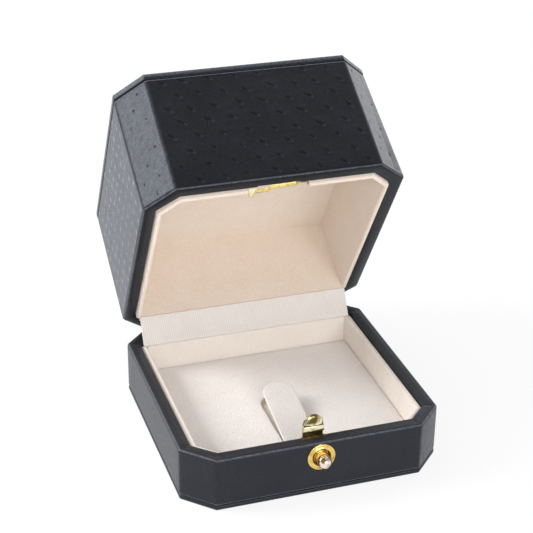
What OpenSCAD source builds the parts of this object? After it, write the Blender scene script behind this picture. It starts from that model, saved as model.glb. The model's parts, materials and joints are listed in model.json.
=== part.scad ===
// Ring display box: an eight-sided case with a sprung lid, a push-button catch and a ring flap.
// Millimetres, +Z up, the front faces -Y. The origin is the middle of the underside.
// Lid pieces are drawn with the lid shut, and lid_place() swings them open about the hinge pin.

/* [Case] */
// Width across the sides
box_w = 65; // [60:0.5:75]
// Depth from front to back
box_d = 65; // [60:0.5:75]
// How far each corner is cut back along a side
corner_cut = 7; // [6.4:0.1:8.5]
// Height of the lower half, from the table to its rim
base_h = 14; // [13.6:0.1:18]
// Height of the lid's wall, from its rim to the top plate
lid_wall_h = 32.4; // [29:0.1:38]
// Gap between the two rims when the lid is shut
rim_gap = 0.1; // [0.05:0.05:0.3]
// Radius of the upright edges
corner_r = 0.7; // [0.3:0.1:1.2]
// Radius of the rims' outer edges
rim_r = 0.8; // [0.3:0.1:1]
// Radius of the edges beside the top and bottom plates
seam_r = 0.4; // [0.2:0.05:0.45]

/* [Boards] */
// Thickness of the moulded shells' walls
shell_t = 2.3; // [2:0.1:2.8]
// Thickness of the base shell's floor
floor_t = 1.4; // [1:0.1:1.6]
// Thickness of the lid shell's roof
roof_t = 1.8; // [1.2:0.1:2.4]
// Thickness of the leather covering
wrap_t = 0.5; // [0.4:0.05:0.6]
// How far the leather is turned down inside each rim
turn_in = 6; // [4:0.5:7]
// How far the leather is turned under at the closed end
turn_under = 6; // [4:0.5:8]
// Thickness of the bottom plate
bottom_plate_t = 1.3; // [1:0.1:1.6]
// Thickness of the lid's top plate
top_plate_t = 1.8; // [1.2:0.1:2.4]

/* [Linings] */
// Thickness of the base's lining card
base_lining_t = 1.5; // [1.2:0.1:1.7]
// Thickness of the lid's lining card
lid_lining_t = 1.2; // [0.8:0.1:1.5]
// Gap between the turned-in leather and a lining
lining_gap = 0.1; // [0.05:0.05:0.2]
// How far the base lining's top edge lies below the rim
base_lining_drop = 1; // [0.9:0.1:1.4]
// How far the lid lining stands proud of the lid's rim
lid_lining_proud = 0.8; // [0.4:0.1:0.8]
// Distance from the back of the box to the face of the base's back lining
base_back_in = 8.6; // [8:0.1:9.5]
// Distance from the back of the box to the face of the lid's back lining
lid_back_in = 8.9; // [8:0.1:9.5]
// Height of the room inside the lid, from its rim to the ceiling board
lid_room_h = 20.3; // [18:0.1:24]
// Thickness of the ceiling board
ceiling_t = 1.2; // [0.8:0.1:2]

/* [Ring pad] */
// Thickness of the foam under the ring pad
foam_t = 1.7; // [1.5:0.1:3]
// Thickness of the ring pad
pad_t = 1; // [0.8:0.1:1.5]
// Clearance between the pad and the linings
pad_gap = 0.1; // [0.05:0.05:0.3]
// Width of the ring flap
flap_w = 8.2; // [6:0.1:12]
// Length of the ring flap from its fold to its tip
flap_l = 21; // [16:0.5:26]
// Thickness of the ring flap
flap_t = 0.8; // [0.6:0.1:0.9]
// Distance from the front of the box to the flap's fold
flap_fold_in = 14; // [12:0.5:17]
// How far the flap stands up from the pad
flap_rise = 12.5; // [8:0.5:18]
// Clearance between the flap and its window in the pad
flap_gap = 0.25; // [0.2:0.05:0.5]

/* [Hinge] */
// How far the lid stands open
open_angle = 58.5; // [50:0.5:58.5]
// Distance from the back of the box to the pin's axis
pin_in = 1.1; // [1.1:0.05:1.4]
// Distance from the base's rim down to the pin's axis
pin_drop = 1.17; // [1.17:0.01:1.4]
// Diameter of the hinge pin
pin_d = 1; // [0.8:0.05:1.1]
// Diameter of the knuckles
knuckle_d = 2; // [1.8:0.05:2.1]
// Length of the row of knuckles
barrel_l = 44; // [40:0.5:46]
// Length of each outer knuckle
end_knuckle_l = 7; // [5:0.5:8]
// Length of each lid knuckle
lid_knuckle_l = 7.6; // [5:0.2:8]
// Room for each hinge spring
spring_room = 3.2; // [2.8:0.1:4]
// Side clearance between neighbouring knuckles
knuckle_gap = 0.2; // [0.1:0.05:0.3]
// Radial clearance of the lid's knuckles on the pin
pin_play = 0.05; // [0.03:0.01:0.09]
// Thickness of the leaves
leaf_t = 0.7; // [0.5:0.05:0.7]
// Height of the base leaf
base_leaf_h = 8; // [7:0.5:8.5]
// Height of the lid leaf
lid_leaf_h = 12; // [8:0.5:16]
// Diameter of the hinge springs' wire
hinge_wire_d = 0.34; // [0.26:0.02:0.36]
// Turns in each hinge spring
hinge_turns = 5; // [3:1:6]
// Width of the cloth that covers the hinge
cover_w = 56.6; // [52:0.2:56.6]
// Thickness of the cloth that covers the hinge
cover_t = 0.5; // [0.3:0.1:0.6]
// How far that cloth reaches down behind each back lining
cover_flap = 4; // [2:0.5:6]

/* [Button] */
// Height of the button's axis above the table
button_z = 10.1; // [9.8:0.1:10.2]
// Diameter of the button's ball
ball_d = 3.15; // [2.4:0.05:3.6]
// Distance from the front of the box to the middle of the ball
ball_out = 2.3; // [2.2:0.1:3]
// Diameter of the button's collar
collar_d = 3.6; // [3.4:0.1:3.8]
// Thickness of the button's collar
collar_t = 0.5; // [0.4:0.1:0.6]
// Diameter of the button's neck, behind the ball
neck_d = 2.5; // [2:0.1:2.6]
// Diameter of the button's stem
stem_d = 1.6; // [1.4:0.1:1.7]
// Radial clearance of the stem and collar
stem_play = 0.06; // [0.04:0.01:0.1]
// Outer diameter of the button's bezel
bezel_d = 6.9; // [6.4:0.1:7.2]
// How far the bezel stands out from the leather
bezel_out = 0.75; // [0.5:0.05:0.9]
// Depth of the bezel's cup behind the leather
cup_depth = 1; // [0.9:0.05:1.1]
// Room between the collar and the bezel's cup
cup_gap = 0.45; // [0.3:0.05:0.5]
// Thickness of the bezel's wall
bezel_t = 0.35; // [0.3:0.05:0.4]
// Thickness of the wall of the bezel's tube
tube_t = 0.65; // [0.6:0.05:0.7]
// How far the button travels
button_travel = 0.7; // [0.5:0.05:0.7]

/* [Catch] */
// How far the catch sits to the left of the button
catch_left = 1; // [0:0.1:1]
// Width of the catch
catch_w = 5.1; // [4.6:0.1:5.4]
// Thickness of the catch's strip
catch_t = 0.5; // [0.4:0.05:0.6]
// Height of the catch above the base's rim
catch_h = 5.85; // [5.4:0.05:6.2]
// Height of the hook's underside above the base's rim
hook_h = 1.45; // [1.45:0.05:1.6]
// Height of the hook's lip
lip_h = 1; // [0.9:0.05:1.2]
// How far the hook's lip stands out from the strip
lip_out = 0.75; // [0.6:0.05:0.8]
// Depth of the catch's domed head in front of its strip
head_out = 1.45; // [1.2:0.05:1.5]
// Clearance between the catch's strip and the turned-in leather
catch_gap = 0.05; // [0.05:0.05:0.1]
// Distance from the back of the catch's strip to its pivot
pivot_in = 1.05; // [1.05:0.05:1.15]
// Height of the catch's pivot above the base's floor
pivot_h = 1.3; // [1.25:0.05:1.4]
// Diameter of the catch's pin
catch_pin_d = 0.9; // [0.7:0.05:1]
// Thickness of the catch's bracket
bracket_t = 0.5; // [0.4:0.05:0.6]
// Diameter of the catch spring's wire
catch_wire_d = 0.28; // [0.2:0.02:0.3]
// Turns in the catch spring
catch_turns = 4; // [3:1:5]
// Length of the catch spring's legs
catch_leg = 1.7; // [1.6:0.1:1.8]
// Thickness of the wear plate in front of the catch
wear_t = 0.35; // [0.25:0.05:0.4]
// How far the wear plate stands proud of the rim
wear_proud = 0.06; // [0:0.02:0.08]
// Width of the wear plate
wear_w = 5.8; // [5.4:0.1:6.4]
// Depth of the wear plate on the rim
wear_d = 1.1; // [0.9:0.1:1.3]
// How far the wear plate reaches down behind the rim
wear_leg = 2; // [1.5:0.1:3]

/* [Strike] */
// Length of the strike plate
strike_l = 14.2; // [13:0.1:15]
// Thickness of the strike plate
strike_t = 0.6; // [0.4:0.05:0.7]
// Length of the slot in the strike plate
slot_l = 10; // [9:0.1:10.4]
// Width of the bar behind the slot
bar_w = 0.7; // [0.5:0.05:0.9]
// Clearance between the catch and the strike plate's slot
slot_gap = 0.35; // [0.3:0.05:0.45]
// Depth of the strike plate in front of its slot
strike_lip = 1.15; // [1:0.05:1.2]
// Distance from the catch's strip to the front of the slot
hook_gap = 0.3; // [0.25:0.05:0.35]
// How far the ear at its left end is folded out of the rim
ear_out = 1.2; // [0.8:0.1:1.3]
// Room over the catch's head when the lid is shut
room_over = 0.9; // [0.7:0.1:1.2]
// Length of the strike plate's nails
strike_nail_l = 3.5; // [3:0.5:4]
// Length of the wear plate's nail
wear_nail_l = 2.4; // [2:0.2:2.6]

/* [Rivets] */
// Diameter of the rivets' shanks
rivet_d = 1.2; // [0.9:0.05:1.3]
// Diameter of the rivets' heads
rivet_head_d = 2.4; // [2:0.1:2.6]
// Diameter of the small nails
nail_d = 0.6; // [0.5:0.05:0.7]

/* [Hidden] */
$fn = 48;
slice = 0.02;                                   // thickness of the slices that a soft edge is blended from
far = 100;                                      // longer than anything in the box
touch = 0.02;                                   // gap between pieces that just touch

// Heights, with the lid shut
lid_rim_z = base_h + rim_gap;
lid_end_z = lid_rim_z + lid_wall_h;
floor_z = bottom_plate_t + wrap_t + floor_t;
foam_top = floor_z + foam_t;
pad_top = foam_top + pad_t;
base_lining_top = base_h - base_lining_drop;
lid_lining_low = lid_rim_z - lid_lining_proud;
ceiling_z = lid_rim_z + lid_room_h;
roof_z = lid_end_z - wrap_t - roof_t;

// Insets from the outside of the case
shell_in = wrap_t + shell_t;                    // to the shells' inner faces
rim_t = shell_in + wrap_t;                      // to the turned-in leather
lining_in = rim_t + lining_gap;                 // to the linings' outer faces
front = -box_d / 2;
back = box_d / 2;

// Hinge
pin_y = back - pin_in;
pin_z = base_h - pin_drop;
leaf_y = back - rim_t - leaf_t;                 // the leaves' faces, against the turned-in leather
base_web_z = pin_z - knuckle_d / 2;
lid_web_z = pin_z + knuckle_d / 2 - leaf_t;
outer_x = barrel_l / 2 - end_knuckle_l;         // inner end of an outer knuckle
lid_x = outer_x - knuckle_gap - lid_knuckle_l;  // inner end of a lid knuckle
mid_x = lid_x - spring_room - knuckle_gap;      // half the middle knuckle
rivet_x = [-barrel_l * 0.41, -barrel_l * 0.18, barrel_l * 0.18, barrel_l * 0.41];
base_rivet_z = base_web_z - base_leaf_h * 0.45;
lid_rivet_z = lid_rim_z + lid_leaf_h * 0.45;
rivet_l = leaf_t + wrap_t + shell_t * 0.6;      // length of a hinge rivet under its head
spring_x = mid_x + knuckle_gap / 2 + spring_room / 2;

// Button and catch, from the front inwards
strip_y = front + rim_t + catch_gap;            // front of the catch's strip
strip_back = strip_y + catch_t;
cup_d = collar_d + 2 * cup_gap;
tube_r = stem_d / 2 + tube_t;                   // outside of the bezel's tube
stem_l = strip_y - catch_gap - front;           // from the front of the box to the nose of the stem
nose_l = 0.2;
pivot_y = strip_back + pivot_in;
pivot_z = floor_z + pivot_h;
ear_r = pivot_h - bracket_t / 2 - 0.1;           // radius round the pin, clear of the bracket's floor
hook_z = base_h + hook_h;
lip_top = hook_z + lip_h;
catch_top = base_h + catch_h;
swing = button_travel / (button_z - pivot_z);   // sine of the catch's turn
strike_z = lid_rim_z + wrap_t + touch;          // the strike plate lies under the rim's leather
slot_front = strip_y - hook_gap;
slot_back = strip_back + swing * (strike_z + strike_t - pivot_z) + slot_gap;
strike_front = slot_front - strike_lip;
strike_back = slot_back + bar_w;
ear_l = (strike_l - slot_l) * 0.43;
notch_w = strike_l + 0.6;                       // width of the lid lining's notch
room_w = catch_w + 0.9;                         // width of the room that the catch swings in
bracket_w = catch_w + 2 * (bracket_t + 0.4);
bracket_rivet_l = bracket_t / 2 + floor_t * 0.6;
pocket_top = catch_top + room_over;

// ---------- shared shapes ----------

// The case's eight-sided outline, pulled in evenly
function outline_points(inset) =
    let (x = box_w / 2 - inset, y = box_d / 2 - inset, cut = corner_cut - inset * (2 - sqrt(2)))
    [[x - cut, -y], [x, cut - y], [x, y - cut], [x - cut, y], [cut - x, y], [-x, y - cut], [-x, cut - y],
        [cut - x, -y]];

module outline(inset) polygon(outline_points(inset));

module prism(inset, z0, z1) translate([0, 0, z0]) linear_extrude(z1 - z0) outline(inset);

// A block with rounded upright edges and a round on its lower and upper edges
module soft_block(z0, z1, low_r, top_r) {
    module cut(inset) linear_extrude(slice)
        offset(r = corner_r, $fn = 24) offset(delta = -corner_r) outline(inset);
    hull() for (a = [0 : 30 : 90]) {
        translate([0, 0, z0 + low_r * (1 - cos(a))]) cut(low_r * (1 - sin(a)));
        translate([0, 0, z1 - slice - top_r * (1 - cos(a))]) cut(top_r * (1 - sin(a)));
    }
}

// A moulded cup of the given outer height, rim upwards, inside its leather
module cup_shell(h, end_t) difference() {
    prism(wrap_t, wrap_t, h - wrap_t);
    prism(shell_in, wrap_t + end_t, h);
}

// Its leather: the outside, the turn inside the rim and the turn under the closed end
module cup_wrap(h) difference() {
    soft_block(0, h, seam_r, rim_r);
    difference() {
        prism(wrap_t, wrap_t, h - wrap_t);
        prism(shell_in, h - turn_in, h);
    }
    prism(rim_t, wrap_t, h + 1);
    prism(turn_under, -1, wrap_t + slice);
}

// A strip of card that follows the case's walls round the sides and the front
module wall_strip(t, z0, z1, end_y) difference() {
    prism(lining_in, z0, z1);
    prism(lining_in + t, z0 - 1, z1 + 1);
    translate([-far / 2, end_y, z0 - 1]) cube([far, far, z1 - z0 + 2]);
}

// The board that closes the back, between the ends of that strip
module back_board(t, z0, z1, face_y) intersection() {
    prism(lining_in + t, z0, z1);
    translate([-far / 2, face_y, z0]) cube([far, t, z1 - z0]);
}

// Places a lid piece in the open lid
module lid_place() translate([0, pin_y, pin_z]) rotate([-open_angle, 0, 0]) translate([0, -pin_y, -pin_z])
    children();

// A round bar along X between two places
module bar_x(x0, x1, y, z, d) translate([x0, y, z]) rotate([0, 90, 0]) cylinder(h = x1 - x0, d = d);

// A strip of even width across the box, whose section is a list of points [y, z]
module across_box(points, w) translate([-w / 2, 0, 0]) rotate([90, 0, 90]) linear_extrude(w) polygon(points);

// A rivet or nail at the origin: shank up +Z from 0, domed head below
module rivet(shank_d, head_d, head_h, l) {
    cylinder(h = l, d = shank_d);
    translate([0, 0, -head_h]) cylinder(h = head_h, d1 = head_d * 0.6, d2 = head_d);
}

// A bent wire along a path that lies across X: rings of points joined into a closed tube
module wire(path, d, sides = 6) {
    last = len(path) - 1;
    tangent = [for (i = [0 : last]) path[min(i + 1, last)] - path[max(i - 1, 0)]];
    rings = [for (i = [0 : last]) let (t = tangent[i] / norm(tangent[i]), u = cross(t, [1, 0, 0]) /
        norm(cross(t, [1, 0, 0])), v = cross(t, u)) for (k = [0 : sides - 1])
        path[i] + d / 2 * (cos(k * 360 / sides) * u + sin(k * 360 / sides) * v)];
    sidewalls = [for (i = [0 : last - 1], k = [0 : sides - 1]) let (a = i * sides, b = (k + 1) % sides)
        each [[a + k, a + sides + k, a + b], [a + b, a + sides + k, a + sides + b]]];
    polyhedron(rings, concat(sidewalls, [[for (k = [0 : sides - 1]) k],
        [for (k = [sides - 1 : -1 : 0]) last * sides + k]]));
}

// A coil about X whose two legs leave it as tangents at the angles given, each with its own length
module torsion_spring(wire_d, coil_d, turns, start, end, start_l, end_l) {
    sweep = turns * 360 + end - start;
    steps = ceil(sweep / 24);
    r = coil_d / 2;
    pitch = wire_d * 1.15;
    length = pitch * sweep / 360;
    function at(a, x) = [x, r * cos(a), r * sin(a)];
    function along(a) = [0, -sin(a), cos(a)];
    coil = [for (i = [0 : steps]) at(start + sweep * i / steps, length * (i / steps - 0.5))];
    wire(concat([coil[0] - start_l * along(start)], coil, [coil[steps] + end_l * along(end)]), wire_d);
}

// How far a spring's leg leans so that its end comes out to the given distance from the axis
function leg_lean(coil_d, leg, reach) = atan2(leg, coil_d / 2) - acos(reach / norm([leg, coil_d / 2]));

// ---------- base ----------

module bottom_plate() color("#2c2d32") soft_block(0, bottom_plate_t, seam_r, seam_r);

// Everything that is cut out of the base's shell and leather; skin is the leather's thickness or 0
module base_cuts(skin) {
    // room for the knuckles
    translate([-barrel_l / 2 - knuckle_gap * 2, back - rim_t - 1, base_web_z - touch])
        cube([barrel_l + knuckle_gap * 4, far, far]);
    // bevel that the open lid's rim swings past
    translate([-far / 2, pin_y, pin_z]) rotate([-open_angle, 0, 0])
        translate([0, -far / 2, pin_drop + rim_gap - 0.2 - skin]) cube([far, far, far]);
    // bezel
    translate([0, front - 1, button_z]) rotate([-90, 0, 0]) {
        cylinder(h = 1 + cup_depth + bezel_t + touch, d = cup_d + 2 * (bezel_t + touch));
        cylinder(h = far / 2, r = tube_r + touch);
    }
    // wear plate
    translate([-catch_left - wear_w / 2 - touch, front + rim_t - wear_d - touch, base_h - wear_t])
        cube([wear_w + 2 * touch, 2, 2]);
    translate([-catch_left - wear_w / 2 - touch, front + shell_in - touch, base_h - wear_leg - touch])
        cube([wear_w + 2 * touch, 2, 3]);
    wear_nail_place() cylinder(h = 6, d = nail_d + touch, center = true);
    base_rivet_places() cylinder(h = rivet_l, d = rivet_d + touch);
}

module wear_nail_place() translate([-catch_left - wear_w * 0.22, front + rim_t - wear_d * 0.55, base_h])
    children();

module base_rivet_places() for (x = rivet_x) translate([x, leaf_y, base_rivet_z])
    rotate([-90, 0, 0]) children();

module base_shell() color("#3a3a3c") difference() {
    translate([0, 0, bottom_plate_t]) cup_shell(base_h - bottom_plate_t, floor_t);
    base_cuts(wrap_t);
    bracket_rivet_places() cylinder(h = 2 * bracket_rivet_l, d = nail_d + touch, center = true);
}

module base_wrap() color("#34353a") difference() {
    translate([0, 0, bottom_plate_t]) cup_wrap(base_h - bottom_plate_t);
    base_cuts(0);
}

// The room that the catch swings in, cut from what stands behind the rim
module catch_room() {
    translate([-catch_left - room_w / 2, front, pad_top]) cube([room_w, rim_t + 4, far]);
    translate([-catch_left - bracket_w / 2 - 0.3, front, floor_z - 1])
        cube([bracket_w + 0.6, rim_t + 4.6, pad_top - floor_z + 1 + touch]);
}

// The base's side walls and front are lined by two strips that meet at the catch
module base_lining_half(side) color("#e9dccf") difference() {
    wall_strip(base_lining_t, floor_z, base_lining_top, back - base_back_in + base_lining_t);
    catch_room();
    translate([-catch_left - (side + 1) / 2 * far, -far / 2, 0]) cube([far, far, far]);
}

module base_left_lining() base_lining_half(-1);

module base_right_lining() base_lining_half(1);

module base_back_lining() color("#e9dccf")
    back_board(base_lining_t, floor_z, base_lining_top, back - base_back_in);

// Pad outline, inside the linings
module pad_block(z0, z1) difference() {
    prism(lining_in + base_lining_t + pad_gap, z0, z1);
    translate([-far / 2, back - base_back_in - pad_gap, z0 - 1]) cube([far, far, z1 - z0 + 2]);
    catch_room();
}

// The flap's outline: a tab with a round tip, its fold on Y = 0
module flap_shape(grow = 0) {
    r = flap_w / 2 + grow;
    translate([-r, 0]) square([2 * r, flap_l - flap_w / 2]);
    translate([0, flap_l - flap_w / 2]) circle(r = r);
}

module pad_foam() color("#d9d4cb") pad_block(floor_z, foam_top);

module ring_pad() color("#efe4d9") difference() {
    pad_block(foam_top, pad_top);
    translate([0, front + flap_fold_in, foam_top - 1]) linear_extrude(pad_t + 2) flap_shape(flap_gap);
}

module ring_flap() color("#efe4d9") translate([0, front + flap_fold_in, foam_top + pad_t / 2])
    rotate([flap_rise, 0, 0]) translate([0, 0, -flap_t / 2]) difference() {
        linear_extrude(flap_t) flap_shape();
        translate([-flap_w, -1, -1]) cube([2 * flap_w, 1 + flap_gap, flap_t + 2]);
    }

// ---------- button and catch ----------

module button_axis() translate([0, front, button_z]) rotate([90, 0, 0]) children();

module button_bezel() color("#d8b45a") button_axis() difference() {
    rotate_extrude() polygon(concat(
        [[stem_d / 2 + stem_play, -shell_in], [tube_r, -shell_in], [tube_r, -cup_depth - bezel_t],
            [cup_d / 2 + bezel_t, -cup_depth - bezel_t], [cup_d / 2 + bezel_t, 0], [bezel_d / 2, 0]],
        [for (a = [0 : 15 : 180]) let (w = (bezel_d - cup_d) / 4) [(bezel_d + cup_d) / 4 + w * cos(a),
            bezel_out * (0.35 + 0.65 * sin(a))]],
        [[cup_d / 2, -cup_depth], [stem_d / 2 + stem_play, -cup_depth]]));
}

module push_button() color("#e3c878") button_axis() {
    translate([0, 0, ball_out]) sphere(d = ball_d);
    translate([0, 0, nose_l - stem_l]) cylinder(h = stem_l - nose_l + ball_out, d = stem_d);
    translate([0, 0, -collar_t / 2]) cylinder(h = collar_t, d = collar_d);
    translate([0, 0, collar_t / 2])
        cylinder(h = ball_out - ball_d * 0.3 - collar_t / 2, d1 = collar_d, d2 = neck_d);
    // the riveted end that keeps it in the bezel, with a nose that presses the catch
    translate([0, 0, nose_l - stem_l]) cylinder(h = stem_l - nose_l - shell_in - touch, d = stem_d + 0.7);
    translate([0, 0, -stem_l]) cylinder(h = nose_l, d1 = 0.5, d2 = stem_d);
}

module at_catch() translate([-catch_left, 0, 0]) children();

module catch_lever() color("#d8b45a") at_catch() difference() {
    union() {
        // strip, with the hook's lip folded out of it
        across_box([[strip_back, pivot_z - ear_r], [strip_back, lip_top + 1], [strip_y, lip_top + 1],
            [strip_y - lip_out * 0.7, lip_top], [strip_y - lip_out, lip_top - 0.15],
            [strip_y - lip_out, hook_z + 0.15], [strip_y - lip_out * 0.8, hook_z], [strip_y, hook_z],
            [strip_y, pivot_z - ear_r]], catch_w);
        // domed head, flat at the back
        intersection() {
            translate([0, strip_y + touch, catch_top - catch_w / 2])
                scale([1, 2 * head_out / catch_w, 1]) sphere(d = catch_w);
            translate([-catch_w, strip_back - far, lip_top]) cube([2 * catch_w, far, far]);
        }
        // ears that turn on the pin
        for (side = [-1, 1]) translate([side * (catch_w / 2 - catch_t / 2) - catch_t / 2, 0, 0]) {
            translate([0, pivot_y, pivot_z]) rotate([0, 90, 0]) cylinder(h = catch_t, r = ear_r);
            translate([0, strip_back - touch, pivot_z - ear_r])
                cube([catch_t, pivot_y - strip_back + touch, 2 * ear_r]);
        }
    }
    bar_x(-catch_w, catch_w, pivot_y, pivot_z, catch_pin_d + 2 * pin_play);
}

module catch_pin() color("#b9bcc0") at_catch()
    bar_x(-bracket_w / 2 - 0.2, bracket_w / 2 + 0.2, pivot_y, pivot_z, catch_pin_d);

// One leg bears on the back of the catch's strip and the other on the bracket's floor
module catch_spring() color("#c4c6c9") at_catch() translate([0, pivot_y, pivot_z]) {
    coil_d = catch_pin_d + catch_wire_d + 0.2;
    clear = catch_wire_d / 2 + touch;
    lean_up = leg_lean(coil_d, catch_leg, pivot_y - strip_back - clear);
    lean_back = leg_lean(coil_d, catch_leg, pivot_h - bracket_t / 2 - clear);
    torsion_spring(catch_wire_d, coil_d, catch_turns, 180 + lean_up, 270 - lean_back, catch_leg, catch_leg);
}

module catch_bracket() color("#b9bcc0") at_catch() difference() {
    union() {
        translate([-bracket_w / 2, strip_y + 0.3, floor_z]) cube([bracket_w, 3.6, bracket_t * 0.5]);
        for (side = [-1, 1]) translate([side * (bracket_w - bracket_t) / 2 - bracket_t / 2, 0, 0]) {
            translate([0, pivot_y - ear_r, floor_z]) cube([bracket_t, 2 * ear_r, pivot_z - floor_z]);
            bar_x(0, bracket_t, pivot_y, pivot_z, 2 * ear_r);
        }
    }
    bar_x(-bracket_w, bracket_w, pivot_y, pivot_z, catch_pin_d + touch);
    translate([catch_left, 0, 0]) bracket_rivet_places() cylinder(h = 3, d = nail_d + touch, center = true);
}

module bracket_rivet_places() for (side = [-1, 1])
    translate([-catch_left + side * catch_w * 0.25, strip_y + 3.3, floor_z + bracket_t * 0.5]) children();

module bracket_rivets() color("#b9bcc0") bracket_rivet_places() rotate([180, 0, 0])
    rivet(nail_d, nail_d * 1.8, 0.25, bracket_rivet_l);

module wear_plate() color("#d8b45a") difference() {
    at_catch() {
        translate([-wear_w / 2, front + rim_t - wear_d, base_h - wear_t])
            cube([wear_w, wear_d, wear_t + wear_proud]);
        translate([-wear_w / 2, front + rim_t - wear_t, base_h - wear_leg])
            cube([wear_w, wear_t, wear_leg - touch]);
    }
    wear_nail_place() cylinder(h = 6, d = nail_d + touch, center = true);
}

module wear_plate_nail() color("#8d7434") wear_nail_place() translate([0, 0, -wear_nail_l])
    cylinder(h = wear_nail_l + wear_proud, d = nail_d);

// ---------- hinge ----------

function base_knuckles() = [[-barrel_l / 2, -outer_x], [-mid_x, mid_x], [outer_x, barrel_l / 2]];
function lid_knuckles() = [[-lid_x - lid_knuckle_l, -lid_x], [lid_x, lid_x + lid_knuckle_l]];

// Knuckles with the webs that join them to a leaf; web_z is the web's underside
module knuckles(spans, web_z) for (span = spans) {
    bar_x(span[0], span[1], pin_y, pin_z, knuckle_d);
    translate([span[0], leaf_y, web_z]) cube([span[1] - span[0], pin_y - leaf_y, leaf_t]);
}

module base_hinge_leaf() color("#c9a24e") difference() {
    union() {
        translate([-barrel_l / 2, leaf_y, base_web_z - base_leaf_h + leaf_t])
            cube([barrel_l, leaf_t, base_leaf_h]);
        knuckles(base_knuckles(), base_web_z);
    }
    bar_x(-barrel_l, barrel_l, pin_y, pin_z, pin_d + touch);
    base_rivet_places() cylinder(h = leaf_t * 3, d = rivet_d + touch, center = true);
}

module lid_rivet_places() lid_place() for (x = rivet_x) translate([x, leaf_y, lid_rivet_z])
    rotate([-90, 0, 0]) children();

module lid_hinge_leaf() color("#c9a24e") difference() {
    lid_place() union() {
        translate([-barrel_l / 2, leaf_y, lid_web_z])
            cube([barrel_l, leaf_t, lid_rim_z + lid_leaf_h - lid_web_z]);
        knuckles(lid_knuckles(), lid_web_z);
    }
    bar_x(-barrel_l, barrel_l, pin_y, pin_z, pin_d + 2 * pin_play);
    lid_rivet_places() cylinder(h = leaf_t * 3, d = rivet_d + touch, center = true);
}

module hinge_pin() color("#b9bcc0") bar_x(-barrel_l / 2, barrel_l / 2, pin_y, pin_z, pin_d);

module hinge_springs() color("#c4c6c9") {
    coil_d = pin_d + hinge_wire_d + 0.16;
    leg = pin_y - leaf_y - leaf_t - hinge_wire_d;
    for (side = [-1, 1]) translate([side * spring_x, pin_y, pin_z])
        torsion_spring(hinge_wire_d, coil_d, hinge_turns, -90, 90 - open_angle, leg, leg);
}

module base_hinge_rivets() color("#c9a24e") base_rivet_places() rivet(rivet_d, rivet_head_d, 0.45, rivet_l);

module lid_hinge_rivets() color("#c9a24e") lid_rivet_places() rivet(rivet_d, rivet_head_d, 0.45, rivet_l);

// Turns a point [y, z] of the shut lid about the pin to where it is in the open lid
function opened(p) = [pin_y + (p[0] - pin_y) * cos(open_angle) + (p[1] - pin_z) * sin(open_angle),
    pin_z - (p[0] - pin_y) * sin(open_angle) + (p[1] - pin_z) * cos(open_angle)];

// The cloth over the hinge: a flap behind each back lining, and the part between them that shows
module hinge_cover() color("#e2dad2") {
    base_y = back - base_back_in + base_lining_t;
    lid_y = back - lid_back_in + lid_lining_t;
    flap_w = cover_w * 0.9;
    low = [base_y - base_lining_t * 0.75, base_lining_top + touch];
    high = opened([lid_y - lid_lining_t * 0.75, lid_lining_low - touch]);
    along = (high - low) / norm(high - low);
    up = [-along[1], along[0]] * cover_t;
    across_box([low, high, high + up, low + up], cover_w);
    across_box([low + along * cover_t, low + along * cover_t + up / 2, low + up / 2, low,
        [base_y, low[1]], [base_y, low[1] - cover_flap], [base_y + cover_t, low[1] - cover_flap],
        [base_y + cover_t, low[1] + cover_t * 0.8]], flap_w);
    across_box([high - along * cover_t, high - along * cover_t + up / 2, high + up / 2, high,
        opened([lid_y, lid_lining_low - touch]), opened([lid_y, lid_lining_low + cover_flap]),
        opened([lid_y + cover_t, lid_lining_low + cover_flap]),
        opened([lid_y + cover_t, lid_lining_low - cover_t * 0.8])], flap_w);
}

// ---------- lid ----------

// The lid's cup stands on its rim, so it is drawn upside down
module lid_cup() translate([0, 0, lid_end_z]) mirror([0, 0, 1]) children();

// Everything that is cut out of the lid's shell and leather
module lid_cuts() {
    translate([-strike_l / 2 - touch, strike_front - touch, lid_rim_z + wrap_t])
        cube([strike_l + 2 * touch, rim_t, strike_t + 2 * touch]);
    translate([-catch_left - room_w / 2, strike_front - 0.3, strike_z])
        cube([room_w, rim_t, pocket_top - strike_z]);
}

module strike_nail_places() for (side = [-1, 1])
    translate([side * strike_l * 0.43, strike_front + strike_lip / 2, strike_z]) children();

module lid_shell() color("#3a3a3c") difference() {
    lid_place() difference() {
        lid_cup() cup_shell(lid_wall_h, roof_t);
        lid_cuts();
        strike_nail_places() cylinder(h = 2 * strike_nail_l, d = nail_d + touch, center = true);
    }
    lid_rivet_places() cylinder(h = rivet_l, d = rivet_d + touch);
}

module lid_wrap() color("#34353a") difference() {
    lid_place() difference() {
        lid_cup() cup_wrap(lid_wall_h);
        lid_cuts();
        // the slot, open through the rim
        translate([-slot_l / 2 - slot_gap, slot_front - slot_gap, lid_rim_z - 1])
            cube([slot_l + 2 * slot_gap, rim_t, wrap_t + 1 + touch]);
    }
    lid_rivet_places() cylinder(h = rivet_l, d = rivet_d + touch);
}

module lid_top_plate() color("#2c2d32") lid_place()
    soft_block(lid_end_z, lid_end_z + top_plate_t, seam_r, seam_r * 1.5);

module lid_wall_lining() color("#e6d6c6") lid_place() difference() {
    wall_strip(lid_lining_t, lid_lining_low, ceiling_z, back - lid_back_in + lid_lining_t);
    translate([-notch_w / 2, front, lid_lining_low - 1])
        cube([notch_w, rim_t + 4, pocket_top - lid_lining_low + 1]);
}

module lid_back_lining() color("#e6d6c6") lid_place()
    back_board(lid_lining_t, lid_lining_low, ceiling_z, back - lid_back_in);

module lid_ceiling() color("#e6d6c6") lid_place() prism(lining_in, ceiling_z, ceiling_z + ceiling_t);

module ceiling_foam() color("#d9d4cb") lid_place()
    prism(lining_in + lid_lining_t, ceiling_z + ceiling_t, roof_z);

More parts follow.
